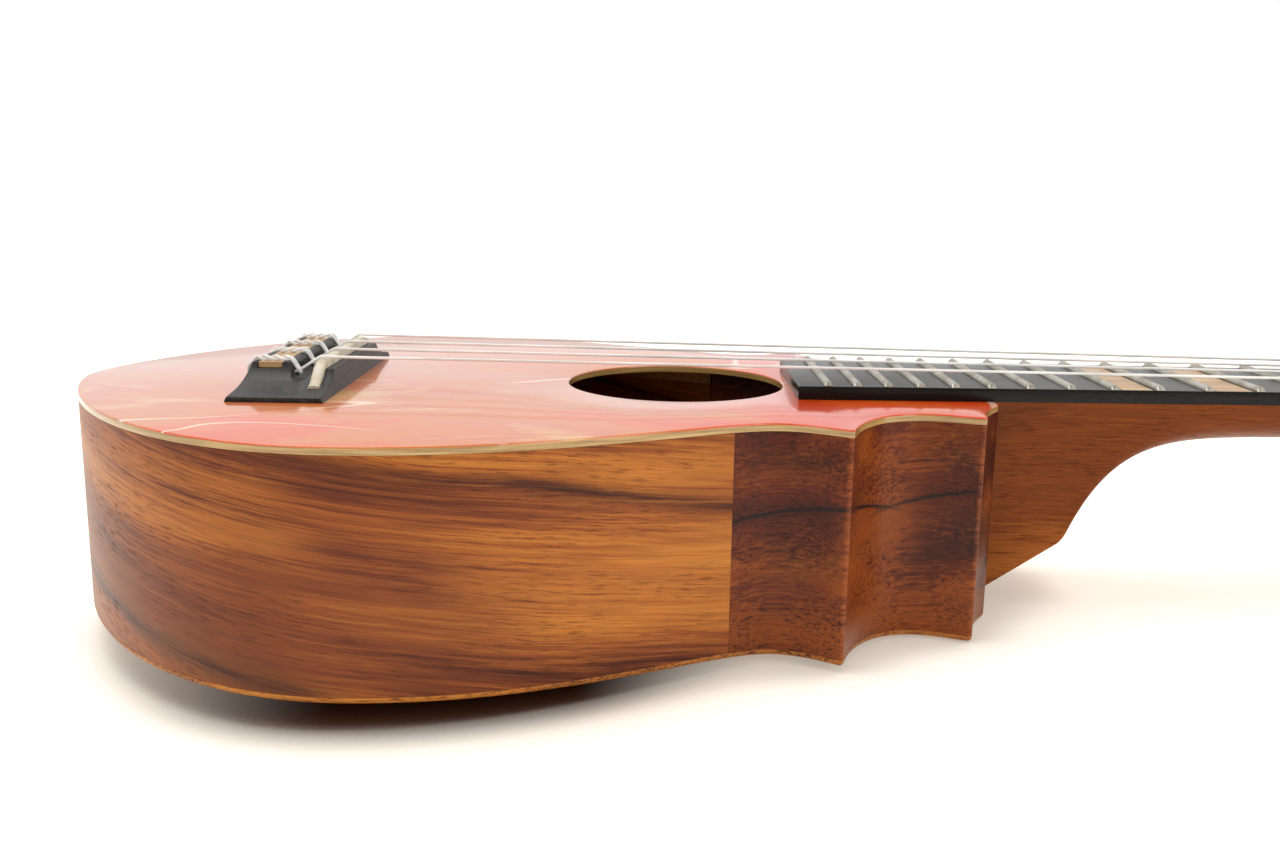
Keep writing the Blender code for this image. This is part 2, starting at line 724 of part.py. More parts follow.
def make_button(number, top):
    """A round stem that spreads into a flat thumb grip."""
    sections = (
        (0.0, 4.4, 4.4),
        (2.5, 4.0, 3.8),
        (5.0, 5.6, 3.2),
        (8.0, 8.2, 2.7),
        (11.0, 8.8, 2.4),
        (12.8, 7.6, 2.0),
        (13.6, 5.4, 1.3),
    )
    rings = []
    for depth, wide, thick in sections:
        turn = 2 * math.pi / PEG_STEPS
        rings.append(
            [
                (
                    wide * MM * math.cos(i * turn),
                    thick * MM * math.sin(i * turn),
                    top - depth * MM,
                )
                for i in range(PEG_STEPS)
            ]
        )
    return loft(f"peg_button_{number}", rings, BUTTON)


make_plates()
make_rims()
make_shoulder_block()
make_linings()
make_tail_block()
make_braces()
make_bridge_plate()
make_fretboard()
make_frets()
make_nut()
make_neck()
make_veneer()
make_bridge()
make_saddle()
make_tie_strip()
make_strings()
make_pegs()

for part in PARTS.objects:
    if part.type == "MESH":
        part.data.shade_smooth()
        part.data.set_sharp_from_angle(angle=math.radians(35))
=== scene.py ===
"""The looks of a ukulele that lies on its back on a pale table.

Every visible piece is made finely here in place of its plain solid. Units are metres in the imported
part's frame: +X runs from the tail to the headstock, +Z out of the soundboard, and the treble side is
at -Y. Distances named "along" are counted from the saddle line, the nominal end of the string scale.
"""

from math import atan, copysign, cos, exp, hypot, pi, radians, sin, sqrt

import bmesh
import bpy
from mathutils import Matrix, Vector


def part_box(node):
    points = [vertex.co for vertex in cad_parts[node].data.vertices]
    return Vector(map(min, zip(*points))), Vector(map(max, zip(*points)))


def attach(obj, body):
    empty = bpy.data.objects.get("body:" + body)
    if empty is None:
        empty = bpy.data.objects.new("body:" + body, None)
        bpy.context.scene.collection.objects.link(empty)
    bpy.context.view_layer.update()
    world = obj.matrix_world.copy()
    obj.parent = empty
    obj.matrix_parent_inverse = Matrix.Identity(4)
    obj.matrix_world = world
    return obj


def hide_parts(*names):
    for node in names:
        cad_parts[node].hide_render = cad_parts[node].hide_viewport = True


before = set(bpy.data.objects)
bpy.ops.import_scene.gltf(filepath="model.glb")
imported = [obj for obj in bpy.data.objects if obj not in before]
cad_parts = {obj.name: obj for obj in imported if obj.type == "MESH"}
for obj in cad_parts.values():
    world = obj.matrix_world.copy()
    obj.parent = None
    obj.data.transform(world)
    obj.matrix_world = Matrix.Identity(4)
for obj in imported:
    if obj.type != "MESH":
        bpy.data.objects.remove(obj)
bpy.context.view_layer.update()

MM = 0.001
CONTACT = 0.02 * MM  # left between glued pieces


def mm(*sizes):
    """Millimetres as metres."""
    return tuple(size * MM for size in sizes)


# The instrument's own sizes, which the frame places
SCALE = 381 * MM
FRETS = 20
MARKED_SPACES = (5, 7, 10, 12)
SADDLE_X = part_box("nut")[0].x - SCALE
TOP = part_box("soundboard")[1].z
PLATE_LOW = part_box("soundboard")[0].z
BACK_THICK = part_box("back_plate")[1].z
TAIL_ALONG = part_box("soundboard")[0].x - SADDLE_X
HEAD_TIP_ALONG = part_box("neck")[1].x - SADDLE_X

# Body outline
RIM_THICK = 2.0 * MM
BOUT_HALF, BOUT_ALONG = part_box("soundboard")[1].y, 13 * MM
WAIST_HALF, WAIST_ALONG = mm(52.2, 105)
POINT, COVE, HORN, NECK_CORNER = mm(120.6, 58.8), mm(140, 38.2), mm(153.9, 41.9), mm(161, 24.5)
SPLICE_ALONG, POCKET_END = mm(95, 140)
HOLE_ALONG, HOLE_RADIUS = mm(83.1, 27.9)

# Fretboard, frets and nut
BOARD_START, BOARD_TOP = mm(112.6, 3.3)
BOARD_END_HALF, BOARD_NUT_HALF = mm(22.5, 17)
FRET_WIDTH, FRET_HEIGHT = mm(2.1, 1.15)
INLAY_DEPTH, NUT_LENGTH = mm(1.4, 5)

# Neck and headstock
HEEL_DEPTH, HEEL_CORNER_DEPTH = mm(51.6, 37)
HEEL_CORNER, SWEEP_LENGTH = mm(182, 8.4)
HEEL_TAPER = 0.11
NECK_DEPTH, NECK_NUT_DEPTH = mm(11.2, 10.4)
HEAD_ANGLE = radians(9)
HEAD_THICK, VENEER_THICK = mm(12.5, 1.5)
HEAD_ALONG = SCALE + NUT_LENGTH + 0.3 * MM
HEAD_LENGTH = (HEAD_TIP_ALONG - HEAD_ALONG) / cos(HEAD_ANGLE)

# Bridge and saddle
BRIDGE_ALONG = mm(-22.8, 0.2)
BRIDGE_HALF, WING_HEIGHT = mm(38, 1.3)
BLOCK_HALF, BLOCK_HEIGHT = mm(22.8, 7.2)
REAR_SLANT, FRONT_SLANT = 0.3, 0.12
TIE_FRONT = -10.8 * MM
CHANNEL_FRONT, CHANNEL_FLOOR = mm(-6.0, 3.0)
FRONT_LAND, BLOCK_NOSE = mm(5.9, 1.3)
SADDLE_ALONG = -3.8 * MM
SADDLE_THICK, SADDLE_HALF, SADDLE_TOP = mm(2.6, 31, 8.05)
SLOT_FLOOR = 1.6 * MM
STRIP_ALONG = mm(-19.1, -13.2)
STRIP_THICK = 1.4 * MM

# Strings and pegs
STRING_RADIUS = 0.35 * MM
SADDLE_SPREAD, NUT_SPREAD = mm(13.8, 9.4)
STRING_AT_SADDLE, STRING_AT_NUT = mm(8.4, 5.0)
TIE_HOLE_HEIGHT, TIE_HOLE_RADIUS = mm(4.2, 0.8)
PEG_RADIUS, PEG_HOLE_RADIUS = mm(3.0, 3.4)
POST_HEIGHT, POST_STRING = mm(9.5, 5.0)
PEGS = {1: mm(36, -18), 2: mm(76, -18), 3: mm(76, 18), 4: mm(36, 18)}

# The room's light: the side behind the camera is darker than the wall beyond the table
FRONT_GLOW, REAR_GLOW = 0.34, 1.0
WHITE, BLACK = (1.0, 1.0, 1.0, 1.0), (0.0, 0.0, 0.0, 1.0)


# Node materials


def srgb(red, green, blue):
    """A colour named by its 0 to 255 screen values, as the linear numbers that shaders take."""
    shares = (value / 255 for value in (red, green, blue))
    return tuple(s / 12.92 if s <= 0.04045 else ((s + 0.055) / 1.055) ** 2.4 for s in shares) + (1.0,)


class Nodes:
    """A node tree, with a short method for each kind of node."""

    def __init__(self, tree):
        self.tree = tree

    def set(self, node, values):
        """Each socket takes a plain value or another node's output."""
        for name, value in values.items():
            if isinstance(value, bpy.types.NodeSocket):
                self.tree.links.new(value, node.inputs[name])
            else:
                node.inputs[name].default_value = value

    def node(self, kind, inputs, **settings):
        node = self.tree.nodes.new("ShaderNode" + kind)
        for name, value in settings.items():
            setattr(node, name, value)
        self.set(node, inputs)
        return node

    def add(self, kind, inputs, output=0, **settings):
        return self.node(kind, inputs, **settings).outputs[output]

    def math(self, operation, first, second=0.0, third=0.0):
        return self.add("Math", {0: first, 1: second, 2: third}, operation=operation)

    def times(self, first, second):
        return self.math("MULTIPLY", first, second)

    def minus(self, first, second):
        return self.math("SUBTRACT", first, second)

    def absolute(self, value):
        return self.math("ABSOLUTE", value)

    def scaled(self, value, factor, base):
        return self.math("MULTIPLY_ADD", value, factor, base)

    def swing(self, noise, reach, middle):
        """A noise, which is 0.5 on average, spread about a middle."""
        return self.scaled(self.minus(noise, 0.5), reach, middle)

    def blend(self, first, weight, second):
        return self.scaled(first, weight, self.times(second, 1 - weight))

    def distance(self, run, rise):
        squares = self.math("ADD", self.math("POWER", run, 2.0), self.math("POWER", rise, 2.0))
        return self.math("SQRT", squares)

    def split(self, vector):
        return tuple(self.node("SeparateXYZ", {0: vector}).outputs)

    def join(self, x, y, z):
        return self.add("CombineXYZ", {0: x, 1: y, 2: z})

    def noise(self, vector, scale, detail=3.0, roughness=0.55, distortion=0.0):
        """A noise that a large scale squeezes along that axis."""
        squeezed = self.add("Mapping", {"Vector": vector, "Scale": scale}, vector_type="POINT")
        inputs = {"Vector": squeezed, "Scale": 1.0, "Detail": detail, "Roughness": roughness,
                  "Distortion": distortion}
        return self.add("TexNoise", inputs)

    def between(self, value, low, high, start=0.0, end=1.0):
        """start below low, end above high and smooth between them. high may be the lower one."""
        inputs = {"Value": value, "From Min": low, "From Max": high, "To Min": start, "To Max": end}
        return self.add("MapRange", inputs, interpolation_type="SMOOTHSTEP")

    def ramp(self, factor, stops):
        """A colour for each value, by stops (value, screen colour)."""
        node = self.node("ValToRGB", {0: factor})
        points = node.color_ramp.elements
        while len(points) < len(stops):
            points.new(0.5)
        for point, (position, color) in zip(points, stops):
            point.position = position
            point.color = srgb(*color)
        return node.outputs[0]

    def mix(self, factor, first, second):
        return self.add("Mix", {0: factor, 6: first, 7: second}, output=2, data_type="RGBA")

    def lit(self, color, value):
        """The colour made lighter or darker by a factor."""
        return self.add("HueSaturation", {"Color": color, "Value": value})


class Finish(Nodes):
    """A material's nodes round its one shader."""

    def __init__(self, name, roughness, coat=0.0, coat_roughness=0.03, metallic=0.0, specular=0.5):
        self.material = bpy.data.materials.new(name)
        self.material.use_nodes = True
        super().__init__(self.material.node_tree)
        self.shader = self.tree.nodes["Principled BSDF"]
        self.set(self.shader, {
            "Roughness": roughness, "Metallic": metallic, "Specular IOR Level": specular,
            "Coat Weight": coat, "Coat Roughness": coat_roughness,
        })
        self.place = self.add("TexCoord", {}, output="Object")

    def grain(self):
        """The place along and across the wood, stored in the mesh where a side is bent."""
        return self.split(self.add("Attribute", {}, output="Vector", attribute_name="grain"))

    def bump(self, height, strength, distance):
        normal = self.add("Bump", {"Height": height, "Strength": strength, "Distance": distance})
        self.set(self.shader, {"Normal": normal})

    def paint(self, color, roughness=None):
        self.set(self.shader, {"Base Color": color})
        if roughness is not None:
            self.set(self.shader, {"Roughness": roughness})
        return self.material


def streak_share(wood, x, y, lines, x0, y0, x1, y1, width):
    """1 on the line from one place in the wood to another, and 0 beyond its ragged edges and soft ends."""
    centre = wood.scaled(wood.minus(x, x0), (y1 - y0) / (x1 - x0), y0)
    reach = wood.scaled(lines, 5.0 * width, -1.5 * width)
    near = wood.minus(1.0, wood.between(wood.absolute(wood.minus(y, centre)), 0.0, reach))
    fade = min(9 * MM, (x1 - x0) / 3)
    starts = wood.between(x, x0 - fade, x0 + fade)
    ends = wood.between(x, x1 + fade, x1 - fade)
    return wood.times(wood.times(near, starts), ends)


def timber(name, tones, plane="solid", slant=0.0, streaks_and_painted_light=(), worn_glint_arrises=(), fibre=1.0, figure=0.05,
           dashes=0.6, contrast=1.0, wander=7 * MM, roughness=0.36, specular=0.22, worn_edge=False):
    """Wood whose fibres run along X, or along a bent side. tones go from its darkest to its lightest.

    plane names the face that the figure is drawn on: "bent" for a side, "upright" for a carved block,
    "flat" for a bookmatched plate and "solid" for anything else. slant tips the fibres on that face.
    streaks_and_painted_light are places in the wood with another tone, in millimetres on that face: from
    (along, across) to (along, across), width, strength, tone number. Some are figure, and some are painted
    light and painted shade. worn_glint_arrises are upright edges (along, across) drawn lighter: sanding wear
    and a painted highlight along the edge. worn_edge draws a plate's whole outline lighter as sanding wear.
    """
    wood = Finish(name, roughness, specular=specular)
    darkest, lightest = srgb(*tones[0]), srgb(*tones[-1])
    if plane == "bent":
        x, y, z = wood.grain()
    else:
        x, y, z = wood.split(wood.place)
        x = wood.minus(x, SADDLE_X)
        side = y if plane == "solid" else wood.absolute(y)
        y, z = (z, side) if plane == "upright" else (side, z)
    straight = wood.join(x, y, z)
    drift = wood.noise(straight, (8, 13, 13), detail=2)
    ripple = wood.noise(straight, (70, 40, 40), roughness=0.7)
    y = wood.swing(drift, wander, wood.swing(ripple, 0.7 * MM, y))
    flow = wood.join(x, wood.scaled(x, slant, y), z)

    broad = wood.noise(flow, (6, 60, 60), detail=2, roughness=0.5)
    lines = wood.noise(flow, (26, 950 * fibre, 950 * fibre), roughness=0.65)
    hairs = wood.noise(flow, (60, 2600 * fibre, 2600 * fibre), detail=2)
    tone = wood.swing(wood.blend(lines, 0.34, broad), 1.1 * contrast, 0.5)
    color = wood.ramp(tone, [(0.30 + 0.1 * i, tone_color) for i, tone_color in enumerate(tones)])

    thready = wood.scaled(wood.between(lines, 0.66, 0.38), 0.5, 0.5)
    # Bands of another tone: figure, and painted light and painted shade where the tables say so.
    for *sizes, strength, tone_number in streaks_and_painted_light:
        x0, y0, x1, y1, width = mm(*sizes)
        share = streak_share(wood, x, y, lines, x0, y0, x1, y1, width)
        if tone_number == 0 and width > MM:
            share = wood.times(share, thready)
        color = wood.mix(wood.times(share, strength), color, srgb(*tones[tone_number]))

    curl = wood.noise(straight, (70, 9, 9), detail=1, distortion=0.4)
    color = wood.lit(color, wood.swing(hairs, 0.9, wood.swing(curl, 2 * figure, 1.0)))

    pores = wood.noise(flow, (190, 2300, 2300), detail=1)
    patchy = wood.between(wood.noise(straight, (20, 90, 90), detail=1), 0.36, 0.6)
    dash = wood.times(wood.between(pores, 0.54, 0.66), patchy)
    color = wood.mix(wood.times(dash, dashes), color, darkest)
    # Painted highlight with sanding wear: the listed edges are drawn lighter.
    for along, across in worn_glint_arrises:
        away = wood.distance(wood.minus(x, along), wood.minus(z, across))
        wear_and_glint = wood.times(wood.between(away, 1.4 * MM, 0.6 * MM), wood.between(lines, 0.3, 0.9))
        color = wood.mix(wear_and_glint, color, lightest)
    if worn_edge:
        inwards = wood.grain()[2]
        wear_and_glint = wood.times(wood.between(inwards, 1.0 * MM, 0.4 * MM), wood.between(pores, 0.7, 0.4))
        color = wood.mix(wood.times(wear_and_glint, 0.5), color, lightest)
    wood.bump(wood.minus(wood.times(hairs, 0.35), dash), 0.35 * dashes, 0.06 * MM)
    return wood.paint(color, wood.scaled(dash, 0.2, wood.scaled(lines, 0.12, roughness - 0.06)))


def painted_top():
    """Clear gloss over orange and coral paint with pale veils, down to a bare edge of plain wood."""
    top = Finish("painted_top", 0.4, coat=1.0, coat_roughness=0.1, specular=0.1)
    top.set(top.shader, {"Coat IOR": 1.62})
    x, _, height = top.split(top.place)
    drift = top.noise(top.place, (10, 15, 10), distortion=1.4)
    veil = top.noise(top.place, (26, 55, 26), detail=5, roughness=0.6, distortion=1.8)
    # Painted shade: the paint is drawn deeper orange towards the neck, standing in for shade and the dark
    # fretboard's reflection in the gloss beside it.
    toward_neck_painted_shade = top.between(x, SADDLE_X + HOLE_ALONG, SADDLE_X + POINT[0])
    tone = top.minus(top.blend(veil, 0.4, drift), top.times(toward_neck_painted_shade, 0.1))
    color = top.ramp(tone, [(0.34, (216, 66, 8)), (0.43, (218, 90, 16)), (0.50, (210, 116, 40)),
                            (0.57, (208, 108, 60)), (0.66, (218, 160, 98))])
    vein = top.noise(top.place, (8, 14, 8), detail=1, roughness=0.4, distortion=0.9)
    thin = top.between(top.absolute(top.minus(vein, 0.5)), 0.006, 0.002)
    patch = top.between(top.noise(top.place, (17, 17, 17), detail=1), 0.36, 0.5)
    color = top.mix(top.times(thin, top.times(patch, 0.75)), color, srgb(250, 226, 200))

    lines = top.noise(top.place, (60, 60, 1700), detail=2)
    bare = top.ramp(lines, [(0.35, (150, 114, 62)), (0.5, (174, 138, 80)), (0.65, (192, 158, 100))])
    paint_foot = top.scaled(top.noise(top.place, (90, 90, 0), detail=2), 0.2 * MM, TOP - 0.45 * MM)
    painted = top.between(top.minus(height, paint_foot), -0.05 * MM, 0.05 * MM)
    top.bump(top.noise(top.place, (140, 140, 140), detail=1), 0.05, 0.2 * MM)
    return top.paint(top.mix(painted, bare, color))


def ebony(name, roughness=0.34, tint=(30, 26, 25), brushed=1.0, specular=0.32, scale=(26, 900, 900)):
    black = Finish(name, roughness, specular=specular)
    grain = black.noise(black.place, scale, detail=4, roughness=0.7)
    broad = black.noise(black.place, (9, 70, 70), detail=2)
    red, green, blue = tint
    dark, light = (red * 0.5, green * 0.5, blue * 0.5), (red * 1.9, green * 1.7, blue * 1.6)
    color = black.ramp(black.blend(broad, 0.4, grain), [(0.36, dark), (0.52, tint), (0.66, light)])
    specks = black.noise(black.place, (1500, 1500, 1500), detail=1)
    color = black.lit(color, black.swing(specks, 2.8 * brushed, 1.0))
    black.bump(grain, 0.5, 0.13 * MM * brushed)
    return black.paint(color, black.scaled(grain, 0.22, roughness - 0.11))


def pale_wood():
    maple = Finish("maple", 0.3)
    lines = maple.noise(maple.place, (14, 420, 420), detail=4, roughness=0.6)
    clouds = maple.noise(maple.place, (90, 130, 130), detail=2)
    color = maple.ramp(maple.blend(clouds, 0.35, lines),
                       [(0.34, (150, 106, 64)), (0.48, (184, 142, 92)), (0.60, (204, 168, 120))])
    maple.bump(lines, 0.1, 0.05 * MM)
    return maple.paint(color)


def bone():
    ivory = Finish("bone", 0.38)
    clouds = ivory.noise(ivory.place, (160, 260, 160), detail=4)
    specks = ivory.noise(ivory.place, (900, 1500, 900), detail=2)
    color = ivory.ramp(clouds, [(0.35, (178, 163, 136)), (0.5, (197, 184, 158)), (0.65, (208, 199, 178))])
    color = ivory.mix(ivory.between(specks, 0.66, 0.74), color, srgb(156, 138, 102))
    ivory.bump(specks, 0.08, 0.04 * MM)
    ivory.set(ivory.shader, {"Subsurface Weight": 0.06, "Subsurface Scale": 1.2 * MM})
    return ivory.paint(color)


def nickel(name="nickel", roughness=0.24, tint=(196, 192, 182)):
    metal = Finish(name, roughness, metallic=1.0)
    rub = metal.noise(metal.place, (1400, 160, 1400))
    tarnish = metal.noise(metal.place, (120, 120, 120))
    red, green, blue = tint
    color = metal.ramp(tarnish, [(0.4, (red * 0.86, green * 0.85, blue * 0.8)), (0.6, tint)])
    metal.bump(rub, 0.06, 0.03 * MM)
    return metal.paint(color, metal.scaled(rub, 0.16, roughness - 0.06))


def nylon():
    """Light that passes through the string lifts its underside, which a faint glow stands for."""
    clear = Finish("clear_nylon", 0.18)
    clear.set(clear.shader, {"Emission Color": (1.0, 0.97, 0.94, 1.0), "Emission Strength": 0.14})
    clouds = clear.noise(clear.place, (60, 500, 500), detail=2)
    return clear.paint(clear.ramp(clouds, [(0.4, (206, 204, 199)), (0.6, (232, 230, 226))]))


def button_plastic():
    black = Finish("button_plastic", 0.22, coat=0.3)
    clouds = black.noise(black.place, (180, 180, 180))
    scuffs = black.noise(black.place, (900, 60, 900), distortion=0.6)
    color = black.ramp(clouds, [(0.4, (14, 13, 13)), (0.6, (30, 28, 27))])
    black.bump(scuffs, 0.05, 0.04 * MM)
    return black.paint(color, black.scaled(scuffs, 0.14, 0.15))


def table_cloth():
    """Pale, with a painted shadow that turns warm dark brown where the instrument closes it in, deepest under
    the lower bout. It brightens outwards until it melts into the background.
    """
    cloth = Finish("pale_table", 0.8, specular=0.2)
    x, y, _ = cloth.split(cloth.place)
    clouds = cloth.noise(cloth.place, (5, 5, 5))
    color = cloth.ramp(clouds, [(0.35, (228, 224, 215)), (0.65, (236, 233, 226))])
    # Painted shadow: ambient occlusion turns the colour dark brown and dims the glow that stands in for
    # bounce light, weighted to be deepest under the lower bout.
    openness = cloth.add("AmbientOcclusion", {"Distance": 18 * MM}, output="AO", samples=8)
    along = cloth.math("ADD", x, NECK_CORNER[0])
    past_tail = cloth.between(along, TAIL_ALONG, 10 * MM)
    before_waist = cloth.between(along, WAIST_ALONG, 60 * MM)
    deep = cloth.scaled(cloth.times(past_tail, before_waist), 0.65, 0.35)
    shade = cloth.times(cloth.between(openness, 0.92, 0.35), deep)
    unlit = cloth.times(cloth.between(openness, 0.98, 0.55), deep)
    bounce = cloth.mix(unlit, srgb(255, 248, 234), BLACK)
    cloth.set(cloth.shader, {"Emission Color": bounce, "Emission Strength": 0.55})
    cloth.bump(cloth.noise(cloth.place, (420, 420, 420), detail=2), 0.04, 0.3 * MM)
    cloth.paint(cloth.mix(shade, color, srgb(84, 50, 30)))
    far = cloth.between(cloth.distance(x, y), 0.45, 1.5)
    glow = cloth.add("Emission", {"Color": WHITE, "Strength": 1.0})
    mixed = cloth.add("MixShader", {0: far, 1: cloth.shader.outputs[0], 2: glow})
    cloth.set(cloth.tree.nodes["Material Output"], {"Surface": mixed})
    return cloth.material


KOA_TONES = ((62, 26, 16), (108, 50, 23), (150, 80, 31), (182, 110, 42), (204, 136, 60))
DARK_TONES = ((20, 11, 11), (58, 20, 11), (92, 35, 15), (136, 66, 18), (166, 86, 36))
NECK_TONES = ((62, 25, 8), (98, 45, 13), (121, 59, 18), (138, 72, 23), (156, 87, 30))
SPRUCE_TONES = ((176, 132, 82), (198, 156, 104), (212, 174, 122), (222, 188, 138), (230, 200, 154))

# Streaks on the bent sides. The thin tone-0 lines are figure. The tone-3 bands high on the lower bout and
# towards the waist are painted light, and the tone-1 bands low down draw the side darker towards the bottom:
# painted shade as well as figure.
SIDE_STREAKS_AND_PAINTED_LIGHT = (
    (150, 24, 230, 18, 18, 0.5, 3),
    (180, 46, 230, 46, 7, 0.8, 3),
    (50, 38, 120, 34, 8, 0.5, 3),
    (55, 47, 115, 45, 8, 0.4, 3),
    (100, 22, 165, 14, 16, 0.4, 1),
    (10, 24, 120, 8, 15, 0.65, 1),
    (112, 52.5, 175, 44.5, 3.0, 1.0, 0),
    (165, 45.5, 228, 33.5, 3.2, 1.0, 0),
    (30, 13, 125, 2, 5.0, 1.0, 0),
)
# Streaks on the carved shoulders. The four thin tone-0 lines are the inked line. The broad tone-3 band on the
# cove's wall past the point is painted light, and the tone-0 bands from the cove's far wall past the horn to
# the neck are painted shade and a painted dark reflection as well as figure.
SHOULDER_STREAKS_AND_PAINTED_LIGHT = (
    (88, 6, 165, 4, 13, 0.9, 3),
    (97, 46, 119, 46, 5, 0.6, 0),
    (103, 24, 121, 23, 12, 0.5, 0),
    (121, 28, 138, 28, 20, 0.9, 3),
    (144, 44, 162, 44, 10, 0.7, 0),
    (143, 26, 162, 26, 11, 0.6, 0),
    (92, 31.5, 113, 35, 0.8, 1.0, 0),
    (110, 34.8, 121.5, 36.2, 0.8, 1.0, 0),
    (119, 36, 134, 31.8, 0.8, 1.0, 0),
    (131, 31.8, 158, 38, 0.8, 1.0, 0),
)
HEEL_STREAKS = ((150, 8, 200, 20, 10, 0.9, 4),)

PAINTED_TOP = painted_top()
KOA_SIDE = timber("koa_side", KOA_TONES, "bent", 0.13, SIDE_STREAKS_AND_PAINTED_LIGHT, figure=0.1, contrast=1.1, dashes=0.45)
KOA_BACK = timber("koa_back", KOA_TONES, "flat", figure=0.12, contrast=1.1, worn_edge=True)
# The point's and the horn's edges are drawn lighter: sanding wear and a painted highlight.
DARK_KOA = timber("dark_koa", DARK_TONES, "upright", -0.06, SHOULDER_STREAKS_AND_PAINTED_LIGHT, (POINT, HORN), fibre=1.35,
                  figure=0.2, contrast=0.85, wander=4 * MM, roughness=0.32)
MAHOGANY = timber("mahogany", NECK_TONES, "upright", streaks_and_painted_light=HEEL_STREAKS, fibre=1.2, figure=0.06, dashes=0.4,
                  contrast=0.5, specular=0.12)
SPRUCE = timber("spruce", SPRUCE_TONES, fibre=1.2, figure=0.02, dashes=0.0, roughness=0.6)
BOARD_EBONY = ebony("fretboard_ebony", roughness=0.25, tint=(20, 16, 14), brushed=0.6, specular=0.22)
BRIDGE_EBONY = ebony("bridge_ebony", roughness=0.45, tint=(42, 39, 37), scale=(900, 60, 900))
VENEER_EBONY = ebony("veneer_ebony", roughness=0.2, tint=(24, 20, 19), brushed=0.5)
MAPLE = pale_wood()
BONE = bone()
NICKEL = nickel()
FRET_METAL = nickel("fret_metal", roughness=0.42, tint=(188, 184, 174))
NYLON = nylon()
BUTTON = button_plastic()


# Mesh tools


def new_object(name, data):
    made = bpy.data.objects.new(name, data)
    bpy.context.scene.collection.objects.link(made)
    return made


def mesh_object(name, bm):
    mesh = bpy.data.meshes.new(name)
    bm.to_mesh(mesh)
    bm.free()
    return new_object(name, mesh)


def finish_piece(name, bm, material, node, body="instrument", angle=35):
    """Turns a mesh into a shown piece that rides on its body and may stand for a plain solid."""
    bmesh.ops.recalc_face_normals(bm, faces=bm.faces)
    piece = mesh_object(name, bm)
    piece.data.set_sharp_from_angle(angle=radians(angle))
    piece.data.materials.append(material)
    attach(piece, body)
    if node:
        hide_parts(node)
    return piece


def with_arcs(points):
    """Outline points (x, y), each with its distance along the outline as a third number."""
    arc, result = 0.0, []
    for i, (x, y) in enumerate(points):
        if i:
            arc += hypot(x - points[i - 1][0], y - points[i - 1][1])
        result.append((x, y, arc))
    return result


def offset_loop(loop, distance):
    """A closed loop moved to its left, with its corners kept."""
    moved = []
    for i, (x, y, _) in enumerate(loop):
        x0, y0, _ = loop[i - 1]
        x1, y1, _ = loop[(i + 1) % len(loop)]
        before = Vector((y0 - y, x - x0)).normalized()
        after = Vector((y - y1, x1 - x)).normalized()
        mitre = (before + after) / max(0.3, 1 + before.dot(after))
        moved.append((x + mitre.x * distance, y + mitre.y * distance))
    return moved


def turned_left(loop, left):
    """The loop in the order that has the plate's material on its left."""
    twice_area = sum(a[0] * b[1] - b[0] * a[1] for a, b in zip(loop, loop[1:] + loop[:1]))
    return loop if (twice_area > 0) == left else loop[::-1]


def edge_steps(low, high, low_round, high_round):
    """(distance inwards, height) from one face of a plate to the other round both edges."""
    turns = [pi / 2 * i / 4 for i in range(5)]
    lower = [(low_round * (1 - sin(turn)), low + low_round * (1 - cos(turn))) for turn in turns]
    upper = [(high_round * (1 - cos(turn)), high - high_round * (1 - sin(turn))) for turn in turns]
    return lower + upper


def skin(bm, rows):
    """Smooth faces between each row of vertices, which is closed on itself, and the next."""
    for lower, upper in zip(rows, rows[1:]):
        for i in range(len(lower)):
            bm.faces.new((lower[i - 1], lower[i], upper[i], upper[i - 1])).smooth = True


def plate_mesh(loops, low, high, low_round, high_round):
    """A plate with rounded edges. The first loop is its outline and the others are its holes.

    A loop that has no distances along itself as third numbers gets them here.
    """
    bm = bmesh.new()
    grain = bm.verts.layers.float_vector.new("grain")
    rims = ([], [])
    for number, loop in enumerate(loops):
        loop = turned_left(loop if len(loop[0]) == 3 else with_arcs(loop), number == 0)
        rows = []
        for inwards, height in edge_steps(low, high, low_round, high_round):
            rows.append([bm.verts.new((x, y, height)) for x, y in offset_loop(loop, inwards)])
            for vert, (_, _, arc) in zip(rows[-1], loop):
                vert[grain] = (arc, height, inwards)
        skin(bm, rows)
        for rim, row in zip(rims, (rows[0], rows[-1])):
            rim += [bm.edges.get((row[i - 1], row[i])) for i in range(len(row))]
    for rim in rims:
        bmesh.ops.triangle_fill(bm, edges=rim, use_beauty=True)
    return bm


def loft_mesh(rings, closed=False):
    """A skin through rings with the same number of points, capped or closed on itself."""
    bm = bmesh.new()
    rows = [[bm.verts.new(point) for point in ring] for ring in rings]
    skin(bm, rows + rows[:1] if closed else rows)
    if not closed:
        bm.faces.new(rows[0])
        bm.faces.new(rows[-1][::-1])
    return bm


def circle(x, y, radius, count):
    turn = 2 * pi / count
    return [(x + radius * cos(i * turn), y + radius * sin(i * turn)) for i in range(count)]


def lathe_mesh(profile, steps=64, closed=False):
    """A shape turned about Z from (radius, height) pairs. A closed profile makes a ring."""
    rings = [[(x, y, height) for x, y in circle(0, 0, radius, steps)] for radius, height in profile]
    return loft_mesh(rings, closed)


def smooth_route(route, parts=8):
    """Points on a Catmull-Rom curve through a route's points."""
    ends = [route[0] * 2 - route[1]] + list(route) + [route[-1] * 2 - route[-2]]
    result = []
    for p0, p1, p2, p3 in zip(ends, ends[1:], ends[2:], ends[3:]):
        for i in range(parts):
            t = i / parts
            near = (p2 - p0) * t + (2 * p0 - 5 * p1 + 4 * p2 - p3) * t**2
            result.append((2 * p1 + near + (3 * p1 - p0 - 3 * p2 + p3) * t**3) / 2)
    return result + [route[-1]]


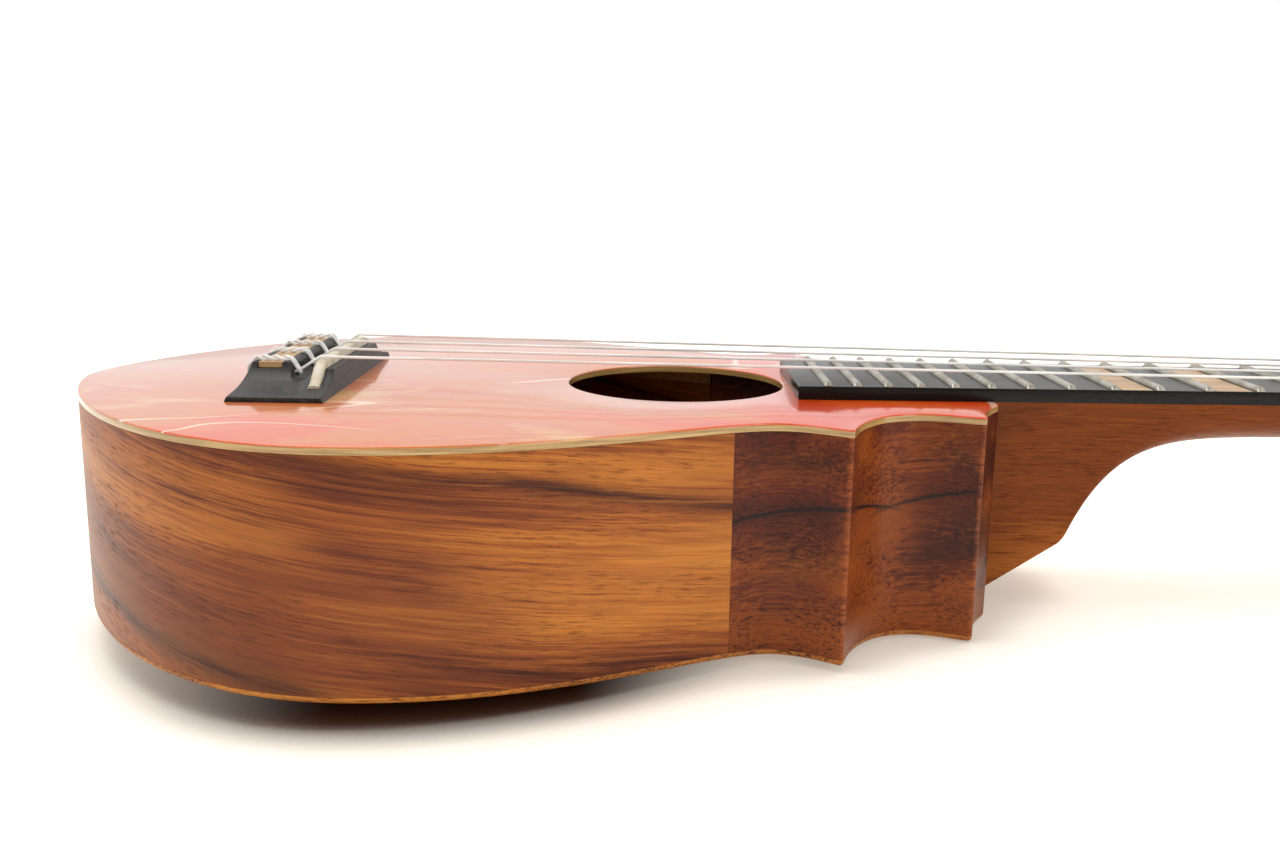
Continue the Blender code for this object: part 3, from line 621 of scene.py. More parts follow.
def tube_mesh(route, radius, sides=12):
    """A tube along a route. Its cross-section is carried from point to point without twisting."""
    side = (route[1] - route[0]).normalized().orthogonal().normalized()
    rings = []
    for i, point in enumerate(route):
        ahead = (route[min(i + 1, len(route) - 1)] - route[max(i - 1, 0)]).normalized()
        side = (side - ahead * side.dot(ahead)).normalized()
        third = ahead.cross(side)
        rings.append([point + (side * x + third * y) * radius for x, y in circle(0, 0, 1, sides)])
    return loft_mesh(rings)


def corner_curve(before, corner, after, steps=5):
    points = []
    for i in range(steps + 1):
        t = i / steps
        point = before * (1 - t) ** 2 + corner * 2 * t * (1 - t) + after * t**2
        points.append((point.x, point.y))
    return points


def eased(before, corner, after, reach, steps=5):
    """A short curve in place of a corner that lies between two other points."""
    before, corner, after = Vector(before), Vector(corner), Vector(after)
    start = corner + (before - corner).normalized() * reach
    end = corner + (after - corner).normalized() * reach
    return corner_curve(start, corner, end, steps)


def rounded_loop(corners, reach, steps=5):
    """A closed loop with each corner swapped for a short curve."""
    result = []
    for i, corner in enumerate(corners):
        result += eased(corners[i - 1], corner, corners[(i + 1) % len(corners)], reach, steps)
    return result


def box_mesh(low, high, rounding):
    """A block with rounded vertical and horizontal edges."""
    corners = [(low[0], low[1]), (high[0], low[1]), (high[0], high[1]), (low[0], high[1])]
    return plate_mesh([rounded_loop(corners, rounding)], low[2], high[2], rounding, rounding)


def cut_out(target, tools):
    """Takes the tool meshes out of a piece for good."""
    cutters = []
    for bm in tools:
        bmesh.ops.recalc_face_normals(bm, faces=bm.faces)
        cutters.append(mesh_object("tool", bm))
        boolean = target.modifiers.new("cut", "BOOLEAN")
        boolean.operation = "DIFFERENCE"
        boolean.object = cutters[-1]
    evaluated = target.evaluated_get(bpy.context.evaluated_depsgraph_get())
    result = bpy.data.meshes.new_from_object(evaluated)
    target.modifiers.clear()
    target.data = result
    result.set_sharp_from_angle(angle=radians(22))
    for cutter in cutters:
        bpy.data.objects.remove(cutter, do_unlink=True)


# Places and outlines


def at(along, across, height):
    """A place counted from the saddle line, the middle line and the soundboard's face."""
    return Vector((SADDLE_X + along, across, TOP + height))


def across_mesh(sections):
    """A skin through sections across the instrument: how far across, and its (along, height) points."""
    return loft_mesh([[at(x, across, z) for x, z in profile] for across, profile in sections])


def bezier(p0, p1, p2, p3, count):
    """Points along a cubic Bezier, without its last one."""
    points = []
    for i in range(count):
        t = i / count
        u = 1 - t
        weights = (u**3, 3 * u * u * t, 3 * u * t * t, t**3)
        points.append(tuple(sum(w * p[k] for w, p in zip(weights, (p0, p1, p2, p3))) for k in (0, 1)))
    return points


def eased_corner(points, corner, reach):
    """The outline with one sharp corner rounded, as sanding leaves it."""
    kept = [point for point in points if (Vector(point) - Vector(corner)).length > reach]
    after = next(i for i in range(1, len(kept)) if kept[i - 1][0] < corner[0] < kept[i][0])
    return kept[:after] + eased(kept[after - 1], corner, kept[after], reach) + kept[after:]


def half_body():
    """Half the body's outline, from the middle of the tail over the corners to the neck."""
    tail, bout, waist = (TAIL_ALONG, 0), (BOUT_ALONG, BOUT_HALF), (WAIST_ALONG, WAIST_HALF)
    points = bezier(tail, (TAIL_ALONG, 20 * MM), (BOUT_ALONG - 52 * MM, BOUT_HALF), bout, 56)
    points += bezier(bout, (58 * MM, BOUT_HALF), (WAIST_ALONG - 14.6 * MM, WAIST_HALF), waist, 48)
    points += bezier(waist, (111 * MM, WAIST_HALF), mm(116, 56), POINT, 14)
    points += bezier(POINT, mm(123, 50), (129 * MM, COVE[1]), COVE, 26)
    points += bezier(COVE, (146 * MM, COVE[1]), mm(150, 41.3), HORN, 14)
    points += bezier(HORN, mm(154.6, 36), mm(156.6, 30.5), NECK_CORNER, 14)
    points.append(NECK_CORNER)
    for corner in (POINT, HORN):
        points = eased_corner(points, corner, 1.3 * MM)
    return points


HALF_BODY = half_body()


def half_at(along):
    """The body's half width at a place."""
    for (x0, y0), (x1, y1) in zip(HALF_BODY, HALF_BODY[1:]):
        if x0 <= along <= x1:
            return y0 + (y1 - y0) * (along - x0) / (x1 - x0)
    raise ValueError("outside the outline")


def board_half(along):
    share = (along - BOARD_START) / (SCALE - BOARD_START)
    return BOARD_END_HALF + (BOARD_NUT_HALF - BOARD_END_HALF) * share


def board_corners(start, end, edge=0.0):
    """The corners of a stretch of the fretboard, counted in from its edges."""
    corners = ((start, -1), (end, -1), (end, 1), (start, 1))
    return [(SADDLE_X + x, side * (board_half(x) - edge)) for x, side in corners]


def fret_along(number):
    return SCALE * 2 ** (-number / 12)


def string_across(number, spread):
    return (number - 2.5) * spread


def head_point(distance, across, height):
    """A place on the headstock: along its face, across it and above the veneer's face."""
    origin = at(HEAD_ALONG, 0, -0.1 * MM)
    forward = Vector((cos(HEAD_ANGLE), 0, -sin(HEAD_ANGLE)))
    up = Vector((sin(HEAD_ANGLE), 0, cos(HEAD_ANGLE)))
    return origin + forward * distance + up * height + Vector((0, across, 0))


def head_matrix(distance=0, across=0):
    """A frame on the headstock: its origin on the veneer's face and its Z straight out of it."""
    return Matrix.Translation(head_point(distance, across, 0)) @ Matrix.Rotation(HEAD_ANGLE, 4, "Y")


# Body


def make_plates():
    upper = [(SADDLE_X + x, y) for x, y in HALF_BODY]
    outline = upper + [(x, -y) for x, y in reversed(upper[1:])]
    hole = circle(SADDLE_X + HOLE_ALONG, 0, HOLE_RADIUS, 128)
    bm = plate_mesh([outline, hole], PLATE_LOW, TOP, *mm(0.1, 0.35))
    finish_piece("painted_soundboard", bm, PAINTED_TOP, "soundboard")
    bm = plate_mesh([outline], 0.0, BACK_THICK, *mm(1.1, 0.15))
    finish_piece("koa_back", bm, KOA_BACK, "back_plate")


def wall_mesh(loop):
    """A standing wall between the back and the top, from a loop of (along, across, arc)."""
    loop = [(SADDLE_X + x, y, arc) for x, y, arc in loop]
    return plate_mesh([loop], BACK_THICK + CONTACT, PLATE_LOW - CONTACT, *mm(0.05, 0.05))


def inset(points, distance):
    """The half outline moved inwards. It starts on the middle line."""
    moved = []
    for i, (x, y) in enumerate(points):
        x0, y0 = points[i - 1] if i else (points[1][0], -points[1][1])
        x1, y1 = points[min(i + 1, len(points) - 1)]
        run, rise = x1 - x0, y1 - y0
        length = hypot(run, rise)
        moved.append((x + distance * rise / length, y - distance * run / length))
    return moved


def make_rims():
    """The two bent sides meet in a seam at the tail and end at the shoulders."""
    outer = [point for point in HALF_BODY if point[0] < SPLICE_ALONG]
    outer.append((SPLICE_ALONG, half_at(SPLICE_ALONG)))
    inner = inset(outer, RIM_THICK)
    inner[-1] = (SPLICE_ALONG, inner[-1][1])
    loop = with_arcs(outer)
    loop += [(x, y, arc) for (x, y), (_, _, arc) in zip(inner[::-1], loop[::-1])]
    for name, side in (("treble", -1), ("bass", 1)):
        bm = wall_mesh([(x, side * max(y, CONTACT), arc) for x, y, arc in loop])
        finish_piece(f"{name}_side", bm, KOA_SIDE, f"rim_{name}")


def make_shoulders():
    """The carved block: its grain follows on from the sides, counted along the same outline."""
    start = SPLICE_ALONG + CONTACT / 10
    beyond = [place for place in with_arcs(HALF_BODY) if place[0] > start]
    outer = [(start, half_at(start), beyond[0][2])] + beyond
    pocket = bezier((start, 44 * MM), mm(112, 43), (POCKET_END, 33 * MM), (POCKET_END, 0), 24)
    inner = [(x, y, outer[0][2] + x - start) for x, y in pocket + [(POCKET_END, 0)]]
    loop = [(x, -y, arc) for x, y, arc in outer] + outer[::-1]
    loop += inner[:-1] + [(x, -y, arc) for x, y, arc in inner[::-1]]
    finish_piece("carved_shoulders", wall_mesh(loop), DARK_KOA, "shoulder_block")


def finish_inside():
    """The pieces inside the body keep their solids and get their woods."""
    finishes = {"tail_block": MAHOGANY, "bridge_plate": MAPLE}
    for face in ("top", "back"):
        finishes |= {f"{face}_{name}": SPRUCE for name in ("lining", "brace_lower", "brace_upper")}
    for name, material in finishes.items():
        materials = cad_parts[name].data.materials
        materials.clear()
        materials.append(material)


# Fretboard, frets and nut


def inlay_corners(number, margin):
    reach = FRET_WIDTH / 2 + 0.9 * MM - margin
    return board_corners(fret_along(number) + reach, fret_along(number - 1) - reach, 0.8 * MM - margin)


def make_fretboard():
    loop = rounded_loop(board_corners(BOARD_START, SCALE - CONTACT), 0.4 * MM, 3)
    bm = plate_mesh([loop], TOP + CONTACT, TOP + BOARD_TOP, *mm(0.05, 0.35))
    board = finish_piece("ebony_fretboard", bm, BOARD_EBONY, "fretboard")
    low, high = TOP + BOARD_TOP - INLAY_DEPTH, TOP + BOARD_TOP
    pockets = []
    for number in MARKED_SPACES:
        bm = plate_mesh([inlay_corners(number, 0.0)], low, high, *mm(0.02, 0.02))
        finish_piece(f"block_inlay_{number:02d}", bm, MAPLE, f"inlay_{number:02d}")
        pocket = inlay_corners(number, 0.06 * MM)
        pockets.append(plate_mesh([pocket], low - CONTACT, high + MM, 0.0, 0.0))
    cut_out(board, pockets)


def make_frets():
    """A crown across the board whose ends are filed to a slope."""
    filed = ((0.0, 0.2), (0.55 * MM, 0.93), (0.8 * MM, 1.0))
    crown = [(cos(pi * i / 14), sin(pi * i / 14)) for i in range(15)]
    for number in range(1, FRETS + 1):
        along = fret_along(number)
        half = board_half(along) - 0.3 * MM
        stations = [(inwards - half, share) for inwards, share in filed]
        stations += [(half - inwards, share) for inwards, share in reversed(filed)]
        sections = [
            (across, [(along + FRET_WIDTH / 2 * x, BOARD_TOP + CONTACT + FRET_HEIGHT * share * z)
                      for x, z in crown])
            for across, share in stations
        ]
        finish_piece(f"fret_wire_{number:02d}", across_mesh(sections), FRET_METAL, f"fret_{number:02d}",
                     angle=30)


def make_nut():
    """Its top falls away towards the pegs, and each string lies in a groove."""
    top = STRING_AT_NUT - STRING_RADIUS + 0.3 * MM
    back = SCALE + NUT_LENGTH
    profile = [(SCALE, CONTACT), (SCALE, top - 0.2 * MM), (SCALE + 0.2 * MM, top), (SCALE + 2 * MM, top),
               (back - 0.5 * MM, top - 1.1 * MM), (back, top - 1.5 * MM), (back, CONTACT)]
    half, ease = BOARD_NUT_HALF, 0.3 * MM
    stations = ((-half, ease), (ease - half, 0.0), (half - ease, 0.0), (half, ease))
    sections = [(across, [(x, max(z - drop, CONTACT)) for x, z in profile]) for across, drop in stations]
    nut = finish_piece("bone_nut", across_mesh(sections), BONE, "nut")
    grooves = []
    for number in PEGS:
        across = string_across(number, NUT_SPREAD)
        falls = ((SCALE - 2 * MM, 0.0), (SCALE + MM, 0.0), (back + 2 * MM, MM))
        route = [at(x, across, STRING_AT_NUT - fall) for x, fall in falls]
        grooves.append(tube_mesh(route, STRING_RADIUS + CONTACT))
    cut_out(nut, grooves)


# Neck and headstock


def neck_ring(along, drop, half, depth, boxiness, count=56):
    """A cross-section, flat on top: round below where boxiness is 0 and square where it is 1."""
    power = 2 / (2.3 + 26 * boxiness**2)
    ring = []
    for i in range(count + 1):
        angle = pi * i / count
        down = depth * abs(sin(angle)) ** power if 0 < i < count else 0.0
        reach = (half - HEEL_TAPER * boxiness * down) * abs(cos(angle)) ** power
        ring.append(at(along, copysign(reach, cos(angle)), -drop - down))
    return ring


def shaft_ring(along, depth, boxiness):
    """A cross-section below the fretboard or the nut."""
    return neck_ring(along, 0, board_half(min(along, SCALE)), depth, boxiness)


def shaft_depth(distance):
    """The hollow sweep beyond the heel's corner, which dies away into the slowly thinning shaft."""
    shaft = NECK_DEPTH + (NECK_NUT_DEPTH - NECK_DEPTH) * distance / (SCALE - HEEL_CORNER)
    return shaft + (HEEL_CORNER_DEPTH - NECK_DEPTH) * exp(-distance / SWEEP_LENGTH)


def shaft_rings():
    start = NECK_CORNER[0] + CONTACT
    slope = (HEEL_DEPTH - HEEL_CORNER_DEPTH) / (HEEL_CORNER - start)
    soft, distance = mm(1.5, 0.8)
    rings = [shaft_ring(start, HEEL_DEPTH - 0.3 * MM, 1)]
    for along in (start + 0.3 * MM, start + 7 * MM, start + 14 * MM, HEEL_CORNER - soft):
        rings.append(shaft_ring(along, HEEL_DEPTH - slope * (along - start), 1))
    first = Vector((HEEL_CORNER - soft, HEEL_CORNER_DEPTH + slope * soft))
    last = Vector((HEEL_CORNER + distance, shaft_depth(distance)))
    corner = corner_curve(first, Vector((HEEL_CORNER, HEEL_CORNER_DEPTH)), last, 6)
    rings += [shaft_ring(*corner[i], 1 - 0.005 * i) for i in range(1, 6)]
    step = 0.5 * MM
    while HEEL_CORNER + distance < SCALE - 12 * MM:
        fade = exp(-distance / SWEEP_LENGTH)
        rings.append(shaft_ring(HEEL_CORNER + distance, shaft_depth(distance), sqrt(fade)))
        distance += step
        step *= 1.13
    return rings + [shaft_ring(SCALE, NECK_NUT_DEPTH, 0.05), shaft_ring(HEAD_ALONG, NECK_NUT_DEPTH, 0.12)]


def head_outline():
    """Half the headstock's outline: (distance along its face, half width)."""
    root, cheek = (0, BOARD_NUT_HALF), mm(26, 27)
    ear, tip = (HEAD_LENGTH - 31 * MM, 28.5 * MM), (HEAD_LENGTH, 0)
    points = bezier(root, (9 * MM, BOARD_NUT_HALF), mm(10, 26.5), cheek, 32)
    points += bezier(cheek, mm(55, 28), mm(80, 29), ear, 16)
    return points + bezier(ear, (ear[0] + 17 * MM, 27.5 * MM), (HEAD_LENGTH, 17 * MM), tip, 40) + [tip]


def head_rings():
    rings = []
    recess = (VENEER_THICK + CONTACT) / cos(HEAD_ANGLE) + 0.1 * MM
    lead = 0.4 * MM
    for distance, half in head_outline()[:-1]:
        drop = recess + distance * sin(HEAD_ANGLE)
        squareness = min(1, 0.15 + distance / (20 * MM))
        depth = NECK_NUT_DEPTH + (HEAD_THICK - NECK_NUT_DEPTH) * min(1, distance / (26 * MM))
        advance = distance * cos(HEAD_ANGLE)
        along = HEAD_ALONG + lead + advance * (1 - lead / (HEAD_TIP_ALONG - HEAD_ALONG))
        rings.append(neck_ring(along, drop, half, depth, squareness))
    return rings


def make_neck():
    bm = loft_mesh(shaft_rings() + head_rings())
    neck = finish_piece("carved_neck", bm, MAHOGANY, "neck")
    holes = []
    for place in PEGS.values():
        hole = lathe_mesh([(PEG_HOLE_RADIUS, -HEAD_THICK - 14 * MM), (PEG_HOLE_RADIUS, 6 * MM)], 48)
        hole.transform(head_matrix(*place))
        holes.append(hole)
    cut_out(neck, holes)


def make_veneer():
    """A thin ebony plate faces the headstock, with a hole for each peg."""
    half = [(MM, BOARD_NUT_HALF)] + [point for point in head_outline() if point[0] > MM]
    loops = [half + [(x, -y) for x, y in reversed(half[:-1])]]
    loops += [circle(x, y, PEG_HOLE_RADIUS, 48) for x, y in PEGS.values()]
    bm = plate_mesh(loops, -VENEER_THICK, 0.0, *mm(0.05, 0.4))
    bm.transform(head_matrix())
    finish_piece("head_veneer", bm, VENEER_EBONY, "headstock_veneer")


# Bridge, saddle and tie block


def bridge_profile(height):
    rear, front = BRIDGE_ALONG
    soft = min(0.35 * MM, height / 3)
    rear_top, front_top = rear + REAR_SLANT * height, front - FRONT_SLANT * height
    return ((rear, CONTACT), (front, CONTACT), (front_top, height - soft),
            (front_top - soft * 0.3, height - soft * 0.3), (front_top - soft, height),
            (rear_top + soft, height), (rear_top + soft * 0.3, height - soft * 0.3),
            (rear_top, height - soft))


def bridge_cuts():
    """What is cut across the bridge: the (along, height) points of each floor, and how far it reaches."""
    half = BRIDGE_HALF + MM
    slot_reach, strip_gap = SADDLE_THICK / 2 + 0.05 * MM, 0.04 * MM
    middle, radius = (TIE_FRONT + CHANNEL_FRONT) / 2, (CHANNEL_FRONT - TIE_FRONT) / 2
    turns = [pi * i / 12 for i in range(13)]
    nose = [(TIE_FRONT - BLOCK_NOSE * (1 - sin(a)), BLOCK_HEIGHT - BLOCK_NOSE * (1 - cos(a)))
            for a in turns[:7]]
    scoop = [(middle - radius * cos(a), CHANNEL_FLOOR + radius * (1 - sin(a))) for a in turns]
    strip_floor = BLOCK_HEIGHT - STRIP_THICK
    return (
        (nose + [(MM, nose[-1][1])], half),
        ([(TIE_FRONT, FRONT_LAND), (MM, FRONT_LAND)], half),
        (scoop, half),
        ([(SADDLE_ALONG + x, SLOT_FLOOR) for x in (-slot_reach, slot_reach)], SADDLE_HALF + 0.05 * MM),
        ([(STRIP_ALONG[0] - strip_gap, strip_floor), (STRIP_ALONG[1] + strip_gap, strip_floor)], half),
    )


def make_bridge():
    """Each wing rises in a hollow ramp to the tie block."""
    curve = bezier((BRIDGE_HALF, WING_HEIGHT), mm(30, 2.0), mm(25.5, 2.9), (BLOCK_HALF, BLOCK_HEIGHT), 18)
    ramp = [(BRIDGE_HALF, 0.75 * MM), (BRIDGE_HALF - 0.15 * MM, 1.15 * MM)] + curve[1:]
    ramp.append((BLOCK_HALF, BLOCK_HEIGHT))
    sections = [(-across, bridge_profile(height)) for across, height in ramp]
    sections += [(-across, profile) for across, profile in reversed(sections)]
    bridge = finish_piece("ebony_bridge", across_mesh(sections), BRIDGE_EBONY, "bridge")
    above = 10 * MM
    tools = []
    for floor, reach in bridge_cuts():
        profile = [(floor[0][0], above)] + floor + [(floor[-1][0], above)]
        tools.append(across_mesh([(-reach, profile), (reach, profile)]))
    for number in PEGS:
        across = string_across(number, SADDLE_SPREAD)
        ends = [at(x, across, TIE_HOLE_HEIGHT) for x in (BRIDGE_ALONG[0] - MM, TIE_FRONT + MM)]
        tools.append(tube_mesh(ends, TIE_HOLE_RADIUS, sides=24))
    cut_out(bridge, tools)


def make_saddle():
    """Bone with a rounded crown, whose ends follow the ramps down into the wings."""
    shoulder = (19 * MM, SADDLE_TOP)
    fall = bezier((SADDLE_HALF, 2.9 * MM), mm(27.5, 3.4), (25.5 * MM, SADDLE_TOP), shoulder, 16)
    fall.append(shoulder)
    stations = [(-across, height) for across, height in fall] + [(0.0, SADDLE_TOP)] + fall[::-1]
    thick, crown = SADDLE_THICK / 2, 0.45 * MM
    turns = [pi * i / 8 for i in range(9)]
    sections = []
    for across, height in stations:
        top = [(-thick * cos(turn), height - crown * (1 - sin(turn))) for turn in turns]
        profile = [(-thick, SLOT_FLOOR + CONTACT)] + top + [(thick, SLOT_FLOOR + CONTACT)]
        sections.append((across, [(SADDLE_ALONG + x, z) for x, z in profile]))
    finish_piece("bone_saddle", across_mesh(sections), BONE, "saddle")


def make_tie_strip():
    low = at(STRIP_ALONG[0], -BLOCK_HALF, BLOCK_HEIGHT - STRIP_THICK + CONTACT)
    high = at(STRIP_ALONG[1], BLOCK_HALF, BLOCK_HEIGHT + 0.02 * MM)
    finish_piece("maple_tie_strip", box_mesh(low, high, 0.12 * MM), MAPLE, "tie_block_strip")


# Strings


def tie_route(across, lean):
    """The string's end: back through the block, over it, round itself and back in a twisted pair."""
    rear, rear_edge = (BRIDGE_ALONG[0] + REAR_SLANT * height for height in (TIE_HOLE_HEIGHT, BLOCK_HEIGHT))
    over = BLOCK_HEIGHT + STRING_RADIUS + 0.03 * MM
    apart, twists, steps = 0.38 * MM, 1.6, 12
    there, back = [], []
    for i in range(steps + 1):
        turn = 2 * pi * twists * i / steps + 0.6
        x = rear_edge + 0.9 * MM + (TIE_FRONT - 1.6 * MM - rear_edge) * i / steps
        for strand, sign in ((there, 1), (back, -1)):
            up = over + apart * (1 + sign * cos(turn))
            strand.append((x, sign * 2.4 * apart * sin(turn), up))
    side = copysign(0.75, there[-1][1])
    hole, edge, nose = (rear, TIE_HOLE_HEIGHT), (rear_edge, BLOCK_HEIGHT), (TIE_FRONT, BLOCK_HEIGHT)

    def beside(anchor, x, y, z):
        return anchor[0] + x * MM, y * MM, anchor[1] + z * MM

    places = [
        beside(hole, 2, 0, 0), beside(hole, -0.45, 0, 0.1), beside(hole, -0.6, 0.2, 1.4),
        beside(edge, -0.45, 0.4, -0.2), *there, beside(nose, 0.45, side, -1),
        beside(nose, 1.1, 0.8 * side, -2.1), beside(nose, 1.5, 0, -2.75),
        beside(nose, 1.1, -0.8 * side, -2.1), beside(nose, 0.45, -side, -1), *back[::-1],
        beside(edge, -0.45, -0.7, -0.1), beside(edge, -1.5, -0.9, -0.7),
    ]
    return [at(x, across + lean * y, z) for x, y, z in places]


def make_strings():
    """Each string leaves its knot, rises over the saddle, lies in the nut and reaches its peg."""
    stand_off = PEG_RADIUS + STRING_RADIUS + CONTACT
    for number, (distance, peg_across) in PEGS.items():
        saddle_side = string_across(number, SADDLE_SPREAD)
        nut_side = string_across(number, NUT_SPREAD)
        side = copysign(1, peg_across)
        lean = -1 if number % 2 else 1
        knot = tie_route(saddle_side, lean)[::-1]
        over_saddle = [at(x, saddle_side, z) for x, z in (
            (TIE_FRONT - 1.2 * MM, TIE_HOLE_HEIGHT + 0.15 * MM),
            (TIE_FRONT + 1.4 * MM, TIE_HOLE_HEIGHT + 1.05 * MM),
            (SADDLE_ALONG - 0.9 * MM, STRING_AT_SADDLE - 0.14 * MM),
            (SADDLE_ALONG, STRING_AT_SADDLE + 0.01 * MM),
            (SADDLE_ALONG + 1.2 * MM, STRING_AT_SADDLE - 0.01 * MM),
        )]
        to_peg = [
            at(SCALE + 0.2 * MM, nut_side, STRING_AT_NUT),
            at(SCALE + 4.6 * MM, nut_side + 0.4 * MM * side, STRING_AT_NUT - 0.75 * MM),
            head_point(distance, peg_across - side * stand_off, POST_STRING),
        ]
        route = smooth_route(knot) + smooth_route(over_saddle, 6) + to_peg
        finish_piece(f"nylon_string_{number}", tube_mesh(route, STRING_RADIUS), NYLON, f"string_{number}",
                     angle=60)


# Pegs


def place_on_peg(name, bm, material, number, node=None, body=None):
    bm.transform(head_matrix(*PEGS[number]))
    return finish_piece(name, bm, material, node, body or f"peg_{number}")


def button_rings(top, count=48):
    """Round at the stem and a flat thumb grip below, through sections (depth, wide, thick)."""
    sections = ((0.0, 4.4, 4.4), (2.5, 4.0, 3.8), (5.0, 5.6, 3.2), (8.0, 8.2, 2.7), (11.0, 8.8, 2.4),
                (12.8, 7.6, 2.0), (13.6, 5.4, 1.3))
    route = smooth_route([Vector(section) * MM for section in sections], 5)
    return [[(wide * x, thick * y, top - depth) for x, y in circle(0, 0, 1, count)]
            for depth, wide, thick in route]


def winding_route(number):
    """Three turns of string round the post, winding down from where the string reaches it."""
    side = -copysign(1, PEGS[number][1])
    radius = PEG_RADIUS + STRING_RADIUS + CONTACT
    pitch = 2 * STRING_RADIUS + 0.05 * MM
    turns, steps = 3, 24
    route = []
    for i in range(turns * steps + 1):
        angle = -side * 2 * pi * i / steps
        height = POST_STRING - pitch * i / steps
        route.append(Vector((radius * sin(angle), side * radius * cos(angle), height)))
    return route


def make_button_screw(number, end):
    """The screw in the button's end, with a cross recess."""
    radius, rise = mm(1.15, 0.35)
    head = [(radius, end + 1.0 * MM), (radius, end - rise * 0.5), (radius * 0.85, end - rise * 0.85),
            (radius * 0.4, end - rise)]
    screw = place_on_peg(f"button_screw_{number}", lathe_mesh(head, 32), NICKEL, number)
    tools = []
    for wide, long in (mm(0.15, 0.85), mm(0.85, 0.15)):
        low, high = (-wide, -long, end - rise - 0.3 * MM), (wide, long, end - rise + 0.35 * MM)
        bar = box_mesh(low, high, 0.02 * MM)
        bar.transform(head_matrix(*PEGS[number]))
        tools.append(bar)
    cut_out(screw, tools)


def make_pegs():
    below = -(VENEER_THICK + HEAD_THICK) - 0.3 * MM
    collar_top, shaft_end = below - 0.5 * MM, below - 2.4 * MM
    top, groove = POST_HEIGHT, POST_STRING + 1.6 * MM
    wide, waist, hole = PEG_RADIUS, PEG_RADIUS - 0.18 * MM, PEG_HOLE_RADIUS
    post = [
        (0.4 * MM, top), (wide - 0.9 * MM, top), (wide - 0.25 * MM, top - 0.25 * MM), (wide, top - 0.9 * MM),
        (wide, groove), (waist, groove - 0.3 * MM), (waist, 2.4 * MM), (wide, 2.0 * MM),
        (wide, collar_top), (4.8 * MM, collar_top), (5 * MM, collar_top - 0.2 * MM),
        (5 * MM, shaft_end + 0.3 * MM), (4.7 * MM, shaft_end), (1.0 * MM, shaft_end),
    ]
    collar = [(hole, 1.35 * MM), (hole + 0.15 * MM, 1.5 * MM), mm(4.3, 1.5), mm(4.7, 1.3), mm(5.1, 0.8),
              mm(5.2, 0.5), (5.2 * MM, CONTACT), (hole, CONTACT)]
    for number in PEGS:
        shaft = place_on_peg(f"peg_post_{number}", lathe_mesh(post), NICKEL, number, f"peg_shaft_{number}")
        drilled = tube_mesh([Vector(mm(x, 0, 7.6)) for x in (-5, 5)], 0.6 * MM, 20)
        drilled.transform(head_matrix(*PEGS[number]))
        cut_out(shaft, [drilled])
        place_on_peg(f"peg_collar_{number}", lathe_mesh(collar, closed=True), NICKEL, number,
                     f"peg_bushing_{number}", body="instrument")
        place_on_peg(f"thumb_button_{number}", loft_mesh(button_rings(shaft_end - CONTACT)), BUTTON, number,
                     f"peg_button_{number}")
        make_button_screw(number, shaft_end - 13.6 * MM)
        winding = tube_mesh(winding_route(number), STRING_RADIUS)
        place_on_peg(f"string_winding_{number}", winding, NYLON, number)


# Stage, light and camera


def make_stage():
    """The table: the instrument tips onto its shoulders and the low ends of its far pegs."""
    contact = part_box("back_plate")[1].x
    button_lows = [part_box(f"peg_button_{number}")[0] for number in PEGS]
    lowest, farthest = min(low.z for low in button_lows), max(low.x for low in button_lows)
    slope = lowest / (farthest + 6 * MM - contact)
    bm = bmesh.new()
    bmesh.ops.create_circle(bm, cap_ends=True, radius=9.0, segments=96)
    table = mesh_object("table", bm)
    table.data.materials.append(table_cloth())
    lean = Matrix.Rotation(-atan(slope), 4, "Y")
    table.matrix_world = Matrix.Translation((contact, 0, -0.05 * MM)) @ lean


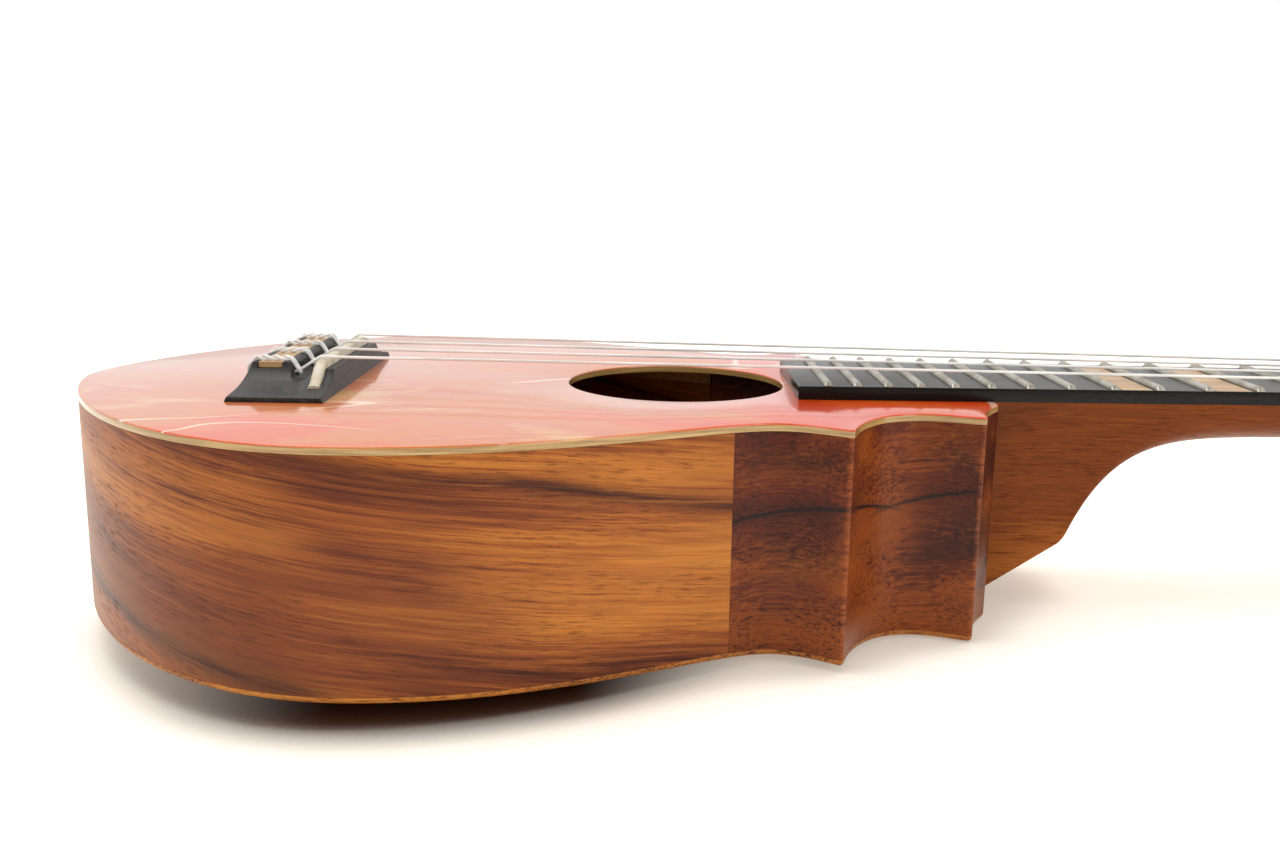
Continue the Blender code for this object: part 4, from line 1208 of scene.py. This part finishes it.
def area_light(name, place, size, power, color=(1.0, 1.0, 1.0)):
    """A square light that looks at the middle of the body."""
    data = bpy.data.lights.new(name, "AREA")
    data.size, data.energy, data.color = size, power, color
    light = new_object(name, data)
    light.location = place
    toward = Vector((-0.2, 0, 0.03)) - Vector(place)
    light.rotation_euler = toward.to_track_quat("-Z", "Y").to_euler()


def make_light():
    """Three soft lights and a room that is white where the camera sees it."""
    world = bpy.data.worlds.new("studio")
    world.use_nodes = True
    room = Nodes(world.node_tree)
    beyond = room.split(room.add("TexCoord", {}, output="Generated"))[1]
    glow = room.between(beyond, -0.9, 0.5, FRONT_GLOW, REAR_GLOW)
    seen = room.add("LightPath", {}, output="Is Camera Ray")
    strength = room.add("Mix", {0: seen, 2: glow, 3: 1.0})
    room.set(world.node_tree.nodes["Background"], {"Color": WHITE, "Strength": strength})
    bpy.context.scene.world = world
    area_light("overhead", (-0.7, 0.3, 1.4), 1.0, 11)
    warm = (1.0, 0.96, 0.9)
    area_light("left_fill", (-1.2, -1.4, 0.9), 0.8, 4, warm)
    area_light("right_fill", (1.1, -1.3, 0.9), 0.8, 10, warm)


def make_camera():
    """Low beside the lower bout, looking across the body with the neck running out of the frame."""
    sensor, image_width, focal_pixels = 36, 1280, 1243.1
    yaw, pitch, roll = -0.0045, 0.2037, 0.0157
    data = bpy.data.cameras.new("camera")
    data.sensor_width = sensor
    data.lens = sensor * focal_pixels / image_width
    data.clip_start, data.clip_end = 0.01, 30
    camera = new_object("camera", data)
    aim = Matrix.Rotation(-yaw, 4, "Z") @ Matrix.Rotation(pi / 2 - pitch, 4, "X")
    place = Matrix.Translation(at(*mm(75.4, -321.6, 54.4)))
    camera.matrix_world = place @ aim @ Matrix.Rotation(roll, 4, "Z")
    bpy.context.scene.camera = camera


make_camera()
make_light()
make_stage()
make_plates()
make_rims()
make_shoulders()
finish_inside()
make_fretboard()
make_frets()
make_nut()
make_neck()
make_veneer()
make_bridge()
make_saddle()
make_tie_strip()
make_strings()
make_pegs()

bpy.context.scene.view_settings.view_transform = "Standard"
